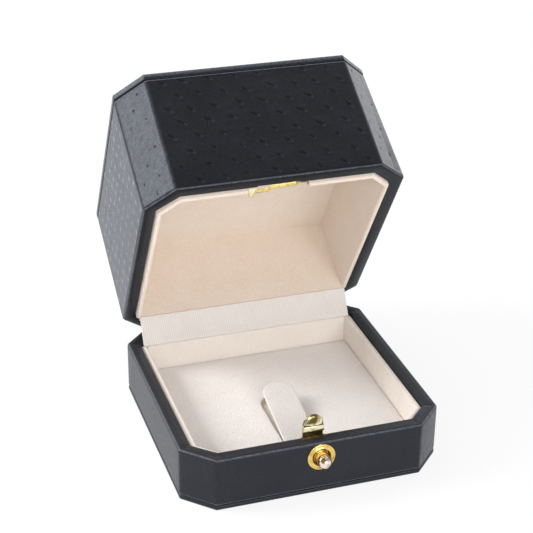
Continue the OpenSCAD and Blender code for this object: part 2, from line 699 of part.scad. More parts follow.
module strike_plate() color("#d8b45a") lid_place() difference() {
    union() {
        translate([-strike_l / 2, strike_front, strike_z])
            cube([strike_l, strike_back - strike_front, strike_t]);
        // left ear, folded out, and right ear, folded in behind the lining
        translate([-strike_l / 2, strike_back, strike_z]) hull() {
            translate([0, -3 * strike_t, 0]) cube([ear_l, 3 * strike_t, strike_t]);
            translate([0, -strike_t, -ear_out]) cube([ear_l / 3, strike_t, strike_t]);
        }
        translate([strike_l / 2 - ear_l, strike_back - touch, strike_z])
            cube([ear_l, 2 * strike_t, strike_t]);
    }
    translate([-slot_l / 2, slot_front, strike_z - strike_t])
        cube([slot_l, slot_back - slot_front, 3 * strike_t]);
    strike_nail_places() cylinder(h = 4 * strike_t, d = nail_d + touch, center = true);
}

module strike_nails() color("#8d7434") lid_place() strike_nail_places()
    cylinder(h = strike_nail_l, d = nail_d);

// ---------- the whole box ----------

bottom_plate();
base_shell();
base_wrap();
base_left_lining();
base_right_lining();
base_back_lining();
pad_foam();
ring_pad();
ring_flap();
button_bezel();
push_button();
catch_lever();
catch_pin();
catch_spring();
catch_bracket();
bracket_rivets();
wear_plate();
wear_plate_nail();
base_hinge_leaf();
lid_hinge_leaf();
hinge_pin();
hinge_springs();
base_hinge_rivets();
lid_hinge_rivets();
hinge_cover();
lid_shell();
lid_wrap();
lid_top_plate();
lid_wall_lining();
lid_back_lining();
lid_ceiling();
ceiling_foam();
strike_plate();
strike_nails();
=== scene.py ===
import math
import random
import bpy
import bmesh
from mathutils import Matrix, Vector, kdtree, noise
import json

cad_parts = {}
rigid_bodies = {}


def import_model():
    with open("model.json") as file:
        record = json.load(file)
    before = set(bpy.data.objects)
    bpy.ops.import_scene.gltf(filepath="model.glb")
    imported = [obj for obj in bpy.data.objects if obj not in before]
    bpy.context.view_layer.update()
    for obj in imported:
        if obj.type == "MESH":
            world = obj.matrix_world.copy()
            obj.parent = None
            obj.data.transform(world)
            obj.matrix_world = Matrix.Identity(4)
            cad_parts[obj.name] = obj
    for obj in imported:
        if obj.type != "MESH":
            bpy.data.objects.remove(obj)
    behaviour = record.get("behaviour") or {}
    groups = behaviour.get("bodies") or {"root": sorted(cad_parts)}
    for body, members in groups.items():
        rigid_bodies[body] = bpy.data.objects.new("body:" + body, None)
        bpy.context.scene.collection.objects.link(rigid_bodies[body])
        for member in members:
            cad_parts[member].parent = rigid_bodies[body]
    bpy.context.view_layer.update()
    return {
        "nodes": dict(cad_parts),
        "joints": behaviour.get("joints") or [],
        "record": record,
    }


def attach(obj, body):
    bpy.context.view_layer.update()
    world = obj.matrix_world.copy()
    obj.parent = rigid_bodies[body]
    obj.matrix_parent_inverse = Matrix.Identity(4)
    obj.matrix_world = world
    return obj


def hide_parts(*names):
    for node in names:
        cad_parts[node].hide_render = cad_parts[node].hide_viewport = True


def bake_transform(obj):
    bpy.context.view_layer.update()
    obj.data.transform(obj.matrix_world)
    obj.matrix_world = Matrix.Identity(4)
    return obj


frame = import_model()
nodes = frame["nodes"]
mm = 0.001

# the lid's pieces are made on the shut lid, then swung open about the hinge pin
lidJoint = next(joint for joint in frame["joints"] if joint["name"] == "lid_hinge")
pin = Vector(lidJoint["pos_m"])
openAngle = math.radians(lidJoint["range_deg"][1])
opening = Matrix.Translation(pin) @ Matrix.Rotation(-openAngle, 4, "X") @ Matrix.Translation(-pin)
shutting = opening.inverted()


def boxOf(node, shut=False):
    points = [shutting @ vertex.co if shut else vertex.co for vertex in nodes[node].data.vertices]
    return (Vector(min(point[i] for point in points) for i in range(3)),
            Vector(max(point[i] for point in points) for i in range(3)))


case = {
    "half": boxOf("base_wrap")[1].x,
    "cornerCut": 7 * mm,
    "rim": 3.3 * mm,        # leather over the board's edge
    "rimRound": 0.8 * mm,
    "dip": 0.30 * mm,       # at the sides the rim's inner half slopes down to the lining
    "leather": 0.5 * mm,
    "turnIn": 6 * mm,
    "turnUnder": 6 * mm,
}
cornerReach = (2 * case["half"] - case["cornerCut"]) / math.sqrt(2)     # from the middle to a corner's wall


def depthInside(point):     # how far a point lies inside the case's eight sides
    x, y, half = abs(point.x), abs(point.y), case["half"]
    return min(half - x, half - y, (2 * half - case["cornerCut"] - x - y) / math.sqrt(2))


# ---- working by hand ----

def deselect():
    if bpy.context.mode != "OBJECT":
        bpy.ops.object.mode_set(mode="OBJECT")
    bpy.ops.object.select_all(action="DESELECT")


def activate(piece):
    deselect()
    piece.select_set(True)
    bpy.context.view_layer.objects.active = piece


def edit(piece):
    activate(piece)
    bpy.ops.object.mode_set(mode="EDIT")
    bpy.ops.mesh.select_all(action="DESELECT")


def leaveEdit():
    bpy.ops.object.mode_set(mode="OBJECT")


def pick(kind, test):       # selects the faces or edges that pass a test
    bpy.ops.mesh.select_mode(type=kind)
    bpy.ops.mesh.select_all(action="DESELECT")
    mesh = bmesh.from_edit_mesh(bpy.context.object.data)
    mesh.normal_update()
    for element in mesh.faces if kind == "FACE" else mesh.edges:
        if test(element):
            element.select_set(True)
    bmesh.update_edit_mesh(bpy.context.object.data)


def pickFaces(test):
    pick("FACE", test)


def pickEdges(test):
    pick("EDGE", test)


def pickAll():
    bpy.ops.mesh.select_all(action="SELECT")


def cutAt(spot, outward, **settings):       # cuts the whole mesh in edit mode with a plane
    pickAll()
    bpy.ops.mesh.bisect(plane_co=spot, plane_no=outward, **settings)


def move(way):
    return {"value": way}


def near(a, b, within=0.02 * mm):
    return abs(a - b) < within


def settle(piece):      # takes a piece's place into its mesh
    activate(piece)
    bpy.ops.object.transform_apply(location=True, rotation=True, scale=True)
    return piece


def named(name):        # the piece that was just added
    bpy.context.object.name = name
    return settle(bpy.context.object)


def newBox(name, low, high):
    deselect()
    low, high = Vector(low), Vector(high)
    bpy.ops.mesh.primitive_cube_add(size=1, location=(low + high) / 2, scale=high - low)
    return named(name)


def newRod(name, centre, radius, length, turn=(90, 0, 0)):
    deselect()
    bpy.ops.mesh.primitive_cylinder_add(vertices=48, radius=radius, depth=length, location=centre,
                                        rotation=[math.radians(angle) for angle in turn])
    return named(name)


def newPoint(name, spot):       # a piece that is one point, left in edit mode to be drawn out
    deselect()
    bpy.ops.mesh.primitive_plane_add(size=mm)
    piece = named(name)
    edit(piece)
    bpy.ops.mesh.select_mode(type="VERT")
    pickAll()
    bpy.ops.mesh.merge(type="CENTER")
    bpy.ops.transform.translate(value=spot)
    return piece


def modify(piece, kind, **settings):
    activate(piece)
    modifier = piece.modifiers.new(kind.title(), kind)
    for key, value in settings.items():
        setattr(modifier, key, value)
    bpy.ops.object.modifier_apply(modifier=modifier.name)


def roundEdges(piece, width, segments=3, angle=30):
    modify(piece, "BEVEL", width=width, segments=segments, limit_method="ANGLE",
           angle_limit=math.radians(angle))


def cutAway(piece, cutter):
    modify(piece, "BOOLEAN", operation="DIFFERENCE", object=cutter, solver="EXACT", use_self=True)
    bpy.data.objects.remove(cutter)


def smooth(piece, angle=35):
    activate(piece)
    bpy.ops.object.shade_smooth_by_angle(angle=math.radians(angle))


def cutAcross(piece, axis, start, stop, step):      # evenly spaced cuts, which let a flat face bend
    edit(piece)
    normal = Vector([1 if i == axis else 0 for i in range(3)])
    count = round((stop - start) / step)
    for i in range(count + 1):
        cutAt(normal * (start + (stop - start) * i / count), normal)
    leaveEdit()


def dress(piece, material):
    piece.data.materials.clear()
    piece.data.materials.append(material)


def dressPart(piece, material, test):       # a second finish on the faces whose middles pass a test
    piece.data.materials.append(material)
    for polygon in piece.data.polygons:
        if test(polygon.center):
            polygon.material_index = 1


def paintMarks(piece, name, measure):       # an attribute from 0 to 1 that a material reads
    marks = piece.data.attributes.new(name, "FLOAT", "POINT")
    for vertex, mark in zip(piece.data.vertices, marks.data):
        mark.value = min(1.0, max(0.0, measure(vertex.co)))


def finishPiece(piece, body, material, node):
    if body == "lid":
        piece.matrix_world = opening
        settle(piece)
    dress(piece, material)
    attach(piece, body)
    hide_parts(node)


def copyNode(node, name, inLid=False):      # a merged copy of a CAD node, on the shut lid if it is the lid's
    activate(nodes[node])
    bpy.ops.object.duplicate()
    piece = bpy.context.object
    piece.name = name
    for key in list(piece.keys()):
        del piece[key]
    bpy.ops.object.parent_clear(type="CLEAR_KEEP_TRANSFORM")
    if inLid:
        piece.matrix_world = shutting
        settle(piece)
    edit(piece)
    pickAll()
    bpy.ops.mesh.remove_doubles(threshold=0.002 * mm)
    bpy.ops.mesh.dissolve_limited(angle_limit=math.radians(1))
    leaveEdit()
    return piece


def wobble(piece, size, height, test):      # slow, uneven waviness, as hand-laid covering has
    outwards = [vertex.normal.copy() for vertex in piece.data.vertices]
    for vertex, outward in zip(piece.data.vertices, outwards):
        if test(vertex.co):
            vertex.co += outward * height * noise.noise(vertex.co / size)


# ---- materials ----

def newMaterial(name, baseColor, roughness, metallic=0.0, specular=0.5, tint=(1, 1, 1), sheen=0.0,
                sheenRoughness=0.5):
    material = bpy.data.materials.new(name)
    material.use_nodes = True
    shader = material.node_tree.nodes["Principled BSDF"]
    values = {
        "Base Color": (*baseColor, 1), "Roughness": roughness, "Metallic": metallic,
        "Specular IOR Level": specular, "Specular Tint": (*tint, 1),
        "Sheen Weight": sheen, "Sheen Roughness": sheenRoughness, "Sheen Tint": (*tint, 1),
    }
    for socket, value in values.items():
        shader.inputs[socket].default_value = value
    return material, material.node_tree, shader


def addNode(tree, kind, **settings):
    node = tree.nodes.new(kind)
    for key, value in settings.items():
        if key in node.inputs:
            node.inputs[key].default_value = value
        else:
            setattr(node, key, value)
    return node


def link(source, target):       # a socket's id_data is the node tree that it is in
    source.id_data.links.new(source, target)


def objectSpace(tree, scale=(1, 1, 1), turn=(0, 0, 0)):
    space = addNode(tree, "ShaderNodeTexCoord")
    angles = [math.radians(angle) for angle in turn]
    mapping = addNode(tree, "ShaderNodeMapping", Scale=scale, Rotation=angles)
    link(space.outputs["Object"], mapping.inputs["Vector"])
    return mapping.outputs["Vector"]


def noiseOf(vector, size, detail=3, rough=0.5):
    texture = addNode(vector.id_data, "ShaderNodeTexNoise", Scale=1 / size, Detail=detail, Roughness=rough)
    link(vector, texture.inputs["Vector"])
    return texture.outputs["Fac"]


def cellsOf(vector, size, feature="F1"):
    texture = addNode(vector.id_data, "ShaderNodeTexVoronoi", feature=feature, Scale=1 / size)
    link(vector, texture.inputs["Vector"])
    return texture.outputs["Distance"]


def attributeOf(tree, name):
    return addNode(tree, "ShaderNodeAttribute", attribute_name=name).outputs["Fac"]


def rampOf(value, *stops):
    ramp = addNode(value.id_data, "ShaderNodeValToRGB")
    elements = ramp.color_ramp.elements
    while len(elements) < len(stops):
        elements.new(0.5)
    for element, (position, color) in zip(elements, stops):
        element.position = position
        element.color = (*color, 1)
    link(value, ramp.inputs["Fac"])
    return ramp.outputs["Color"]


def levels(value, low, high):
    scaler = addNode(value.id_data, "ShaderNodeMapRange")
    scaler.inputs["To Min"].default_value = low
    scaler.inputs["To Max"].default_value = high
    link(value, scaler.inputs["Value"])
    return scaler.outputs["Result"]


def mathOf(operation, first, second):       # the second may be a number
    node = addNode(first.id_data, "ShaderNodeMath", operation=operation)
    link(first, node.inputs[0])
    if isinstance(second, (int, float)):
        node.inputs[1].default_value = second
    else:
        link(second, node.inputs[1])
    return node.outputs[0]


def weigh(*parts):        # adds up (texture, share) pairs
    total = 0.0
    for texture, share in parts:
        total = mathOf("ADD", mathOf("MULTIPLY", texture, share), total)
    return total


def emboss(shader, height, distance):
    bump = addNode(height.id_data, "ShaderNodeBump", Strength=1.0, Distance=distance)
    link(height, bump.inputs["Height"])
    link(bump.outputs["Normal"], shader.inputs["Normal"])


leatherLook = {
    # the first two colours are painted highlight, the third is painted reflection
    "paleHighlight": (0.11, 0.117, 0.14), "paintedHighlight": (0.36, 0.38, 0.42), "paintedReflection": (0.095, 0.100, 0.122),
    "tint": (0.80, 0.87, 1.0), "sheenRoughness": 0.35,
    "patch": 9 * mm, "speck": 0.5 * mm, "cloud": 1.1 * mm, "polish": 1.2 * mm,
    "pebble": 0.42 * mm, "wrinkle": 0.16 * mm, "streak": 0.35 * mm, "wrinkleShare": 0.35,
}


def leatherMaterial(name, color, specular, sheen, roughness, height, pebbleShare, streakShare):
    look = leatherLook
    material, tree, shader = newMaterial(name, color, 0.4, specular=specular, tint=look["tint"],
                                         sheen=sheen, sheenRoughness=look["sheenRoughness"])
    space = objectSpace(tree)
    patches = noiseOf(space, look["patch"], 4)
    specks = noiseOf(space, look["speck"], 3, 0.7)
    # the wear attribute holds painted highlight on edges and quills
    paintedHighlight = mathOf("MULTIPLY", attributeOf(tree, "wear"), levels(specks, -0.4, 1.6))
    flecked = mathOf("ADD", mathOf("MULTIPLY", patches, 0.04), levels(specks, -0.03, 0.07))
    shade = mathOf("ADD", flecked, paintedHighlight)
    clouds = noiseOf(objectSpace(tree, (1, 1, 0.5)), look["cloud"], 5, 0.65)
    # pale bluish clouds on the marked walls are painted reflection
    paintedReflections = addNode(tree, "ShaderNodeMix", data_type="RGBA", blend_type="ADD")
    link(attributeOf(tree, "paintedReflection"), paintedReflections.inputs["Factor"])
    link(rampOf(shade, (0.03, color), (0.5, look["paleHighlight"]), (1.0, look["paintedHighlight"])), paintedReflections.inputs["A"])
    link(rampOf(clouds, (0.35, (0, 0, 0)), (0.72, look["paintedReflection"])), paintedReflections.inputs["B"])
    link(paintedReflections.outputs["Result"], shader.inputs["Base Color"])
    polish = levels(noiseOf(space, look["polish"]), *roughness)
    link(mathOf("ADD", polish, mathOf("MULTIPLY", paintedHighlight, 0.25)), shader.inputs["Roughness"])
    pebbles = cellsOf(space, look["pebble"], "SMOOTH_F1")
    wrinkles = noiseOf(space, look["wrinkle"], 2)
    streaks = noiseOf(objectSpace(tree, (1, 1, 0.15)), look["streak"])
    grain = weigh((pebbles, pebbleShare), (wrinkles, look["wrinkleShare"]), (streaks, streakShare))
    emboss(shader, grain, height)
    return material


suedeLook = {"patch": 6 * mm, "fleck": 0.45 * mm, "fibre": 0.16 * mm, "nap": 0.16 * mm, "sheen": 0.3}


def suedeMaterial(name, color, shade):
    look = suedeLook
    material, tree, shader = newMaterial(name, color, 0.95, specular=0.1, sheen=look["sheen"])
    space = objectSpace(tree)
    patches = noiseOf(space, look["patch"], 5, 0.6)
    flecks = noiseOf(space, look["fleck"], 5, 0.75)
    fibres = noiseOf(objectSpace(tree, (1, 0.25, 1)), look["fibre"], 4, 0.8)
    pattern = weigh((patches, 0.14), (flecks, 0.48), (fibres, 0.38))
    link(rampOf(pattern, (0.42, shade), (0.56, color)), shader.inputs["Base Color"])
    emboss(shader, weigh((fibres, 1.0), (flecks, 1.2)), look["nap"])
    return material


clothLook = {"patch": 4 * mm, "thread": 0.3 * mm, "rib": 0.5 * mm, "relief": 0.08 * mm, "sheen": 0.25}


def clothMaterial(name, color, shade):
    look = clothLook
    material, tree, shader = newMaterial(name, color, 0.9, specular=0.15, sheen=look["sheen"])
    space = objectSpace(tree)
    patches = noiseOf(space, look["patch"], 4)
    weave = noiseOf(objectSpace(tree, (1, 3, 3)), look["thread"], 3, 0.7)
    ribs = addNode(tree, "ShaderNodeTexWave", Scale=math.pi / (10 * look["rib"]), Distortion=1.2,
                   Detail=2)
    ribs.inputs["Detail Scale"].default_value = 2
    link(space, ribs.inputs["Vector"])
    pattern = weigh((patches, 0.25), (weave, 0.35), (ribs.outputs["Fac"], 0.4))
    link(rampOf(pattern, (0.25, shade), (0.75, color)), shader.inputs["Base Color"])
    emboss(shader, pattern, look["relief"])
    return material


metalLook = {"stainAndPaintedReflection": 1.1 * mm, "scratch": 0.25 * mm, "dent": 0.7 * mm, "dentDepth": 0.010 * mm}


def metalMaterial(name, color, tarnishAndPaintedShade, roughness, grainTurn=(0, 0, 0), stainAndPaintedReflection=metalLook["stainAndPaintedReflection"]):
    look = metalLook
    material, tree, shader = newMaterial(name, color, roughness, metallic=1.0)
    space = objectSpace(tree)
    # the noise gives stains; the attribute adds painted shade and painted dark reflections where it is
    # painted
    stainsAndPaintedShade = mathOf("ADD", noiseOf(space, stainAndPaintedReflection), mathOf("MULTIPLY", attributeOf(tree, "tarnishAndPaintedShade"), 0.4))
    link(rampOf(stainsAndPaintedShade, (0.42, color), (0.68, tarnishAndPaintedShade)), shader.inputs["Base Color"])
    polish = noiseOf(objectSpace(tree, (1, 1, 8), grainTurn), look["scratch"])
    link(levels(polish, roughness * 0.7, roughness * 1.5), shader.inputs["Roughness"])
    emboss(shader, noiseOf(space, look["dent"]), look["dentDepth"])
    return material


def boardMaterial(name, color, fleck):
    material, tree, shader = newMaterial(name, color, 0.8, specular=0.3)
    space = objectSpace(tree)
    fibres = noiseOf(objectSpace(tree, (1, 4, 4)), 0.6 * mm, 4, 0.7)
    link(rampOf(fibres, (0.4, color), (0.75, fleck)), shader.inputs["Base Color"])
    grit = noiseOf(space, 0.2 * mm)
    emboss(shader, weigh((fibres, 1.0), (grit, 0.5)), 0.06 * mm)
    return material


def foamMaterial(name, color, shade):
    material, tree, shader = newMaterial(name, color, 0.9, specular=0.2)
    space = objectSpace(tree)
    pores = cellsOf(space, 0.5 * mm)
    link(rampOf(pores, (0.15, shade), (0.55, color)), shader.inputs["Base Color"])
    emboss(shader, pores, 0.15 * mm)
    return material


print("materials")
lidLeather = leatherMaterial("lidLeatherette", (0.0030, 0.0033, 0.0046), specular=0.17, sheen=0.28,
                             roughness=(0.28, 0.42), height=0.040 * mm, pebbleShare=0.35, streakShare=0.3)
# a darker, less glossy finish for sunken strokes and pores, as painted shade
quillShade = leatherMaterial("quillShade", (0.0024, 0.0026, 0.0036), specular=0.09, sheen=0.17,
                            roughness=(0.5, 0.7), height=0.040 * mm, pebbleShare=0.3, streakShare=0.1)
baseLeather = leatherMaterial("baseLeatherette", (0.0120, 0.0129, 0.0165), specular=0.25, sheen=0.09,
                              roughness=(0.30, 0.46), height=0.055 * mm, pebbleShare=0.5, streakShare=0.9)
creamSuede = suedeMaterial("creamSuede", (0.90, 0.83, 0.765), (0.82, 0.73, 0.655))
# the lid's suede is a warmer, darker copy of the cream suede, as painted shade inside the lid
lidShadedSuede = suedeMaterial("lidShadedSuede", (0.87, 0.76, 0.665), (0.79, 0.66, 0.545))
padSuede = suedeMaterial("padSuede", (0.90, 0.865, 0.845), (0.81, 0.765, 0.735))
# the flap's suede is a darker copy of the pad's, as painted shade
flapShadedSuede = suedeMaterial("flapShadedSuede", (0.79, 0.76, 0.74), (0.69, 0.65, 0.625))
hingeCloth = clothMaterial("hingeCloth", (0.78, 0.745, 0.72), (0.66, 0.605, 0.57))
polishedBrass = metalMaterial("polishedBrass", (0.86, 0.63, 0.20), (0.62, 0.42, 0.11), 0.11)
catchBrass = metalMaterial("catchBrass", (0.84, 0.76, 0.52), (0.12, 0.09, 0.03), 0.12, stainAndPaintedReflection=2.2 * mm)
# dark brass painted as shade, for the plate under the catch's head
paintedShadeBrass = metalMaterial("paintedShadeBrass", (0.20, 0.165, 0.105), (0.10, 0.08, 0.05), 0.30)
strikeBrass = metalMaterial("strikeBrass", (0.80, 0.64, 0.24), (0.62, 0.45, 0.12), 0.16)
# brighter brass for the strike's ear, as painted highlight
highlightBrass = metalMaterial("highlightBrass", (0.97, 0.92, 0.66), (0.85, 0.72, 0.35), 0.16)
paleBrass = metalMaterial("paleBrass", (0.88, 0.77, 0.68), (0.20, 0.12, 0.06), 0.10)
dullBrass = metalMaterial("dullBrass", (0.42, 0.30, 0.12), (0.25, 0.17, 0.06), 0.35)
satinBrass = metalMaterial("satinBrass", (0.78, 0.58, 0.26), (0.60, 0.42, 0.16), 0.28, (0, 90, 0))
brightSteel = metalMaterial("brightSteel", (0.60, 0.61, 0.62), (0.45, 0.45, 0.45), 0.22, (0, 90, 0))
greyBoard = boardMaterial("greyBoard", (0.05, 0.048, 0.045), (0.10, 0.095, 0.085))
notchShadeBoard = boardMaterial("notchShadeBoard", (0.42, 0.20, 0.08), (0.55, 0.32, 0.16))
paleFoam = foamMaterial("paleFoam", (0.84, 0.78, 0.70), (0.70, 0.63, 0.54))

print("hidden and small pieces")
looksOfSlots = {
    "leatherette": baseLeather, "moulded_board": greyBoard, "suede": creamSuede, "foam": paleFoam,
    "brass": polishedBrass, "dark_brass": dullBrass, "hinge_brass": satinBrass, "steel": brightSteel,
    "hinge_cloth": hingeCloth,
}
for part in frame["record"]["subparts"]:
    dress(nodes[part["node"]], looksOfSlots[part["material_slot"]])


# each coil is copied from its node and split at the middle when there are two
def addSprings(node, first, second, *names):
    pieces = [copyNode(node, name) for name in names]
    for piece in pieces:
        if len(pieces) > 1:
            isLeft = piece is pieces[0]
            edit(piece)
            cutAt((0, 0, 0), (1, 0, 0), clear_outer=isLeft, clear_inner=not isLeft)
            leaveEdit()
        smooth(piece, 40)
        dress(piece, brightSteel)
        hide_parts(node)
        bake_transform(piece)


addSprings("hinge_springs", "base", "lid", "leftHingeSpring", "rightHingeSpring")
addSprings("catch_spring", "catch", "base", "catchSpring")


# ---- leather ----

uprightWeight, seamWeight, foldWeight = 0.75, 0.7, 0.4     # shares of the rim's rounding
strike = {"slotHalf": 5.35 * mm, "slotFront": 2.7 * mm, "roomHalf": 3.0 * mm}
catchLow, catchHigh = boxOf("catch_lever")
catchX = (catchLow.x + catchHigh.x) / 2
bezelLow, bezelHigh = boxOf("button_bezel")
buttonZ = (bezelLow.z + bezelHigh.z) / 2


def weighEdges(test, weight):
    pickEdges(test)
    bpy.ops.transform.edge_bevelweight(value=weight)


wear = {"band": 0.4 * mm, "share": 0.5, "wall": 0.25 * mm}      # how far the painted highlight reaches in from edges, and the painted reflection in from walls


def markEdgeHighlight(piece, *heights):      # the edges, painted paler as highlight
    def paleHighlight(spot):
        inside = max(depthInside(spot), min(abs(spot.z - height) for height in heights))
        return wear["share"] if inside < wear["band"] else 0

    paintMarks(piece, "wear", paleHighlight)


def markPaintedReflections(piece, **shares):      # walls painted paler and bluer in clouds, as painted reflection
    ways = {"left": (-1, 0), "frontLeft": (-1, -1), "frontRight": (1, -1)}

    def reflecting(spot):
        found = 0
        for wall, share in shares.items():
            x, y = ways[wall]
            reach = cornerReach if x * y else case["half"]
            if spot.dot(Vector((x, y, 0)).normalized()) > reach - wear["wall"]:
                found = share
        return found

    paintMarks(piece, "paintedReflection", reflecting)


def leatherCup(name, low, high, rimUp):
    rimZ, endZ = (high.z, low.z) if rimUp else (low.z, high.z)
    inwards = -1 if rimUp else 1
    piece = newBox(name, low, high)
    edit(piece)
    pickEdges(lambda edge: not near(edge.verts[0].co.z, edge.verts[1].co.z))
    bpy.ops.mesh.bevel(offset=case["cornerCut"], affect="EDGES")
    pickFaces(lambda face: near(face.calc_center_median().z, rimZ))
    for _ in range(2):
        bpy.ops.mesh.inset(thickness=case["rim"] / 2)
    bpy.ops.mesh.extrude_region_move(TRANSFORM_OT_translate=move((0, 0, inwards * case["turnIn"])))
    bpy.ops.mesh.delete(type="FACE")
    pickFaces(lambda face: near(face.calc_center_median().z, endZ))
    bpy.ops.mesh.inset(thickness=case["turnUnder"])
    bpy.ops.mesh.delete(type="FACE")

    def deep(edge, depth):
        return all(near(depthInside(vertex.co), depth) for vertex in edge.verts)

    def level(edge, z):
        return all(near(vertex.co.z, z) for vertex in edge.verts)

    weighEdges(lambda edge: deep(edge, 0) and not near(edge.verts[0].co.z, edge.verts[1].co.z), uprightWeight)
    weighEdges(lambda edge: deep(edge, 0) and level(edge, rimZ), 1)
    weighEdges(lambda edge: deep(edge, 0) and level(edge, endZ), seamWeight)
    weighEdges(lambda edge: deep(edge, case["rim"]) and level(edge, rimZ), foldWeight)
    leaveEdit()
    modify(piece, "BEVEL", width=case["rimRound"], segments=4, limit_method="WEIGHT")
    for vertex in piece.data.vertices:
        inside = depthInside(vertex.co) / (case["rim"] / 2) - 1
        if inside > 0 and abs(vertex.co.x) > abs(vertex.co.y) and abs(vertex.co.z - rimZ) < case["leather"]:
            vertex.co.z += inwards * case["dip"] * min(1, inside)
    edit(piece)
    for height in (rimZ + inwards * case["rimRound"] * 1.2, endZ - inwards * case["rimRound"]):
        cutAt((0, 0, height), (0, 0, 1))
    leaveEdit()
    modify(piece, "SOLIDIFY", thickness=case["leather"], offset=-1, use_even_offset=True)
    return piece


def wallPlaces():       # middle, outward and sideways directions and half length of each of the eight walls
    for i in range(8):
        angle = math.radians(45 * i)
        outward = Vector((math.sin(angle), -math.cos(angle), 0))
        sideways = Vector((math.cos(angle), math.sin(angle), 0))
        if i % 2:
            yield outward * cornerReach, outward, sideways, case["cornerCut"] / math.sqrt(2)
        else:
            yield outward * case["half"], outward, sideways, case["half"] - case["cornerCut"]


quill = {
    "dash": (1.05 * mm, 0.44 * mm, 0.12 * mm),      # half length, half width and depth of the sunken stroke
    "swell": (1.3 * mm, 0.12 * mm),                 # radius and rise of the skin about it
    "tip": (0.26 * mm, 0.10 * mm),                  # radius and rise of its end, painted paler as highlight
    "knob": (0.62 * mm, 0.05 * mm),                 # radius and rise of a bare quill on the sides, painted paler as highlight
    "prick": (0.44 * mm, 0.06 * mm),                # radius and depth of a pore on the corners, given the darker finish as painted shade
    "jitter": 0.6 * mm, "slant": -40, "sway": 14, "sizes": (0.75, 1.1), "seed": 11,
    # kept clear at a wall's ends, moved about a quill, and moved in depth
    "margin": 1.7 * mm, "reach": 2.6 * mm, "skin": 0.3 * mm,
}


# each gives the rise, the painted highlight (paleness) and the painted shade (darkness) of the skin, a along
# a quill's stroke and b across it
def frontQuill(a, b):
    half, wide, depth = quill["dash"]
    broad, swell = quill["swell"]
    radius, height = quill["tip"]
    share = (a / half) ** 2 + (b / wide) ** 2
    tip = math.exp(-((a - 1.2 * half) ** 2 + b * b) / radius ** 2)
    rise = swell * math.exp(-(a * a + b * b) / broad ** 2) - depth * math.exp(-share * share) + height * tip
    return rise, 0.16 * tip, 1 - share


def sideQuill(a, b):
    radius, height = quill["knob"]
    knob = math.exp(-(a * a + b * b) / radius ** 2)
    return height * knob, 1.1 * knob, -1


def pinPrick(a, b):
    radius, depth = quill["prick"]
    share = (a * a + b * b) / radius ** 2
    return -depth * math.exp(-share), 0, 1 - share


quillKinds = {      # shape, spacing across and between rows
    "front": (frontQuill, 6.0 * mm, 4.15 * mm),
    "side": (sideQuill, 4.4 * mm, 3.7 * mm),
    "corner": (pinPrick, 4.8 * mm, 4.0 * mm),
}


def stampQuills(piece, places):     # a place is a middle, three directions, two half sizes and a kind
    vertices = piece.data.vertices
    marks = piece.data.attributes["wear"].data
    tree = kdtree.KDTree(len(vertices))
    for vertex in vertices:
        tree.insert(vertex.co, vertex.index)
    tree.balance()
    dice = random.Random(quill["seed"])
    moves, paleness, darkness = {}, {}, {}
    for origin, outward, sideways, upward, halfWide, halfHigh, kind in places:
        shape, across, rows = quillKinds[kind]
        for row in range(int(2 * halfHigh / rows) + 1):
            for column in range(int(2 * halfWide / across) + 2):
                u = -halfWide + (column + row % 2 / 2) * across + dice.uniform(-1, 1) * quill["jitter"]
                v = -halfHigh + (row + 0.5) * rows + dice.uniform(-0.6, 0.6) * quill["jitter"]
                turn = math.radians(quill["slant"] + dice.uniform(-1, 1) * quill["sway"])
                size = dice.uniform(*quill["sizes"])
                if abs(u) > halfWide - quill["margin"] or abs(v) > halfHigh - quill["margin"] * 0.6:
                    continue
                centre = origin + sideways * u + upward * v
                for point, index, _ in tree.find_range(centre, quill["reach"]):
                    offset = point - centre
                    if offset.dot(outward) < -quill["skin"]:
                        continue
                    a, b = offset.dot(sideways) / size, offset.dot(upward) / size
                    rise, pale, dark = shape(a * math.cos(turn) + b * math.sin(turn),
                                             b * math.cos(turn) - a * math.sin(turn))
                    moves.setdefault(index, [outward, 0.0])[1] += size * rise
                    paleness[index] = max(pale, paleness.get(index, 0))
                    darkness[index] = max(dark, darkness.get(index, -1))
    # the pale ends and ridges go into the wear attribute as painted highlight
    for index, (outward, rise) in moves.items():
        vertices[index].co += outward * rise
        marks[index].value = max(marks[index].value, paleness[index])
    return [face.index for face in piece.data.polygons
            if sum(darkness.get(i, -1) for i in face.vertices) / len(face.vertices) > dice.uniform(-0.2, 0.3)]


def darken(piece, faces):       # the sunken strokes and pores get a darker, less glossy finish, as painted shade
    piece.data.materials.append(quillShade)
    for index in faces:
        piece.data.polygons[index].material_index = 1


lidWalls = {
    "cuts": ((400 * mm * mm, 87), (100 * mm * mm, 50)),     # for walls above each area
    "wave": 6 * mm, "waveHeight": 0.05 * mm,
    "spread": 0.6 * mm, "spreadFrom": 2.2 * mm, "spreadOver": 1.5 * mm,     # the right wall, towards the rim
}


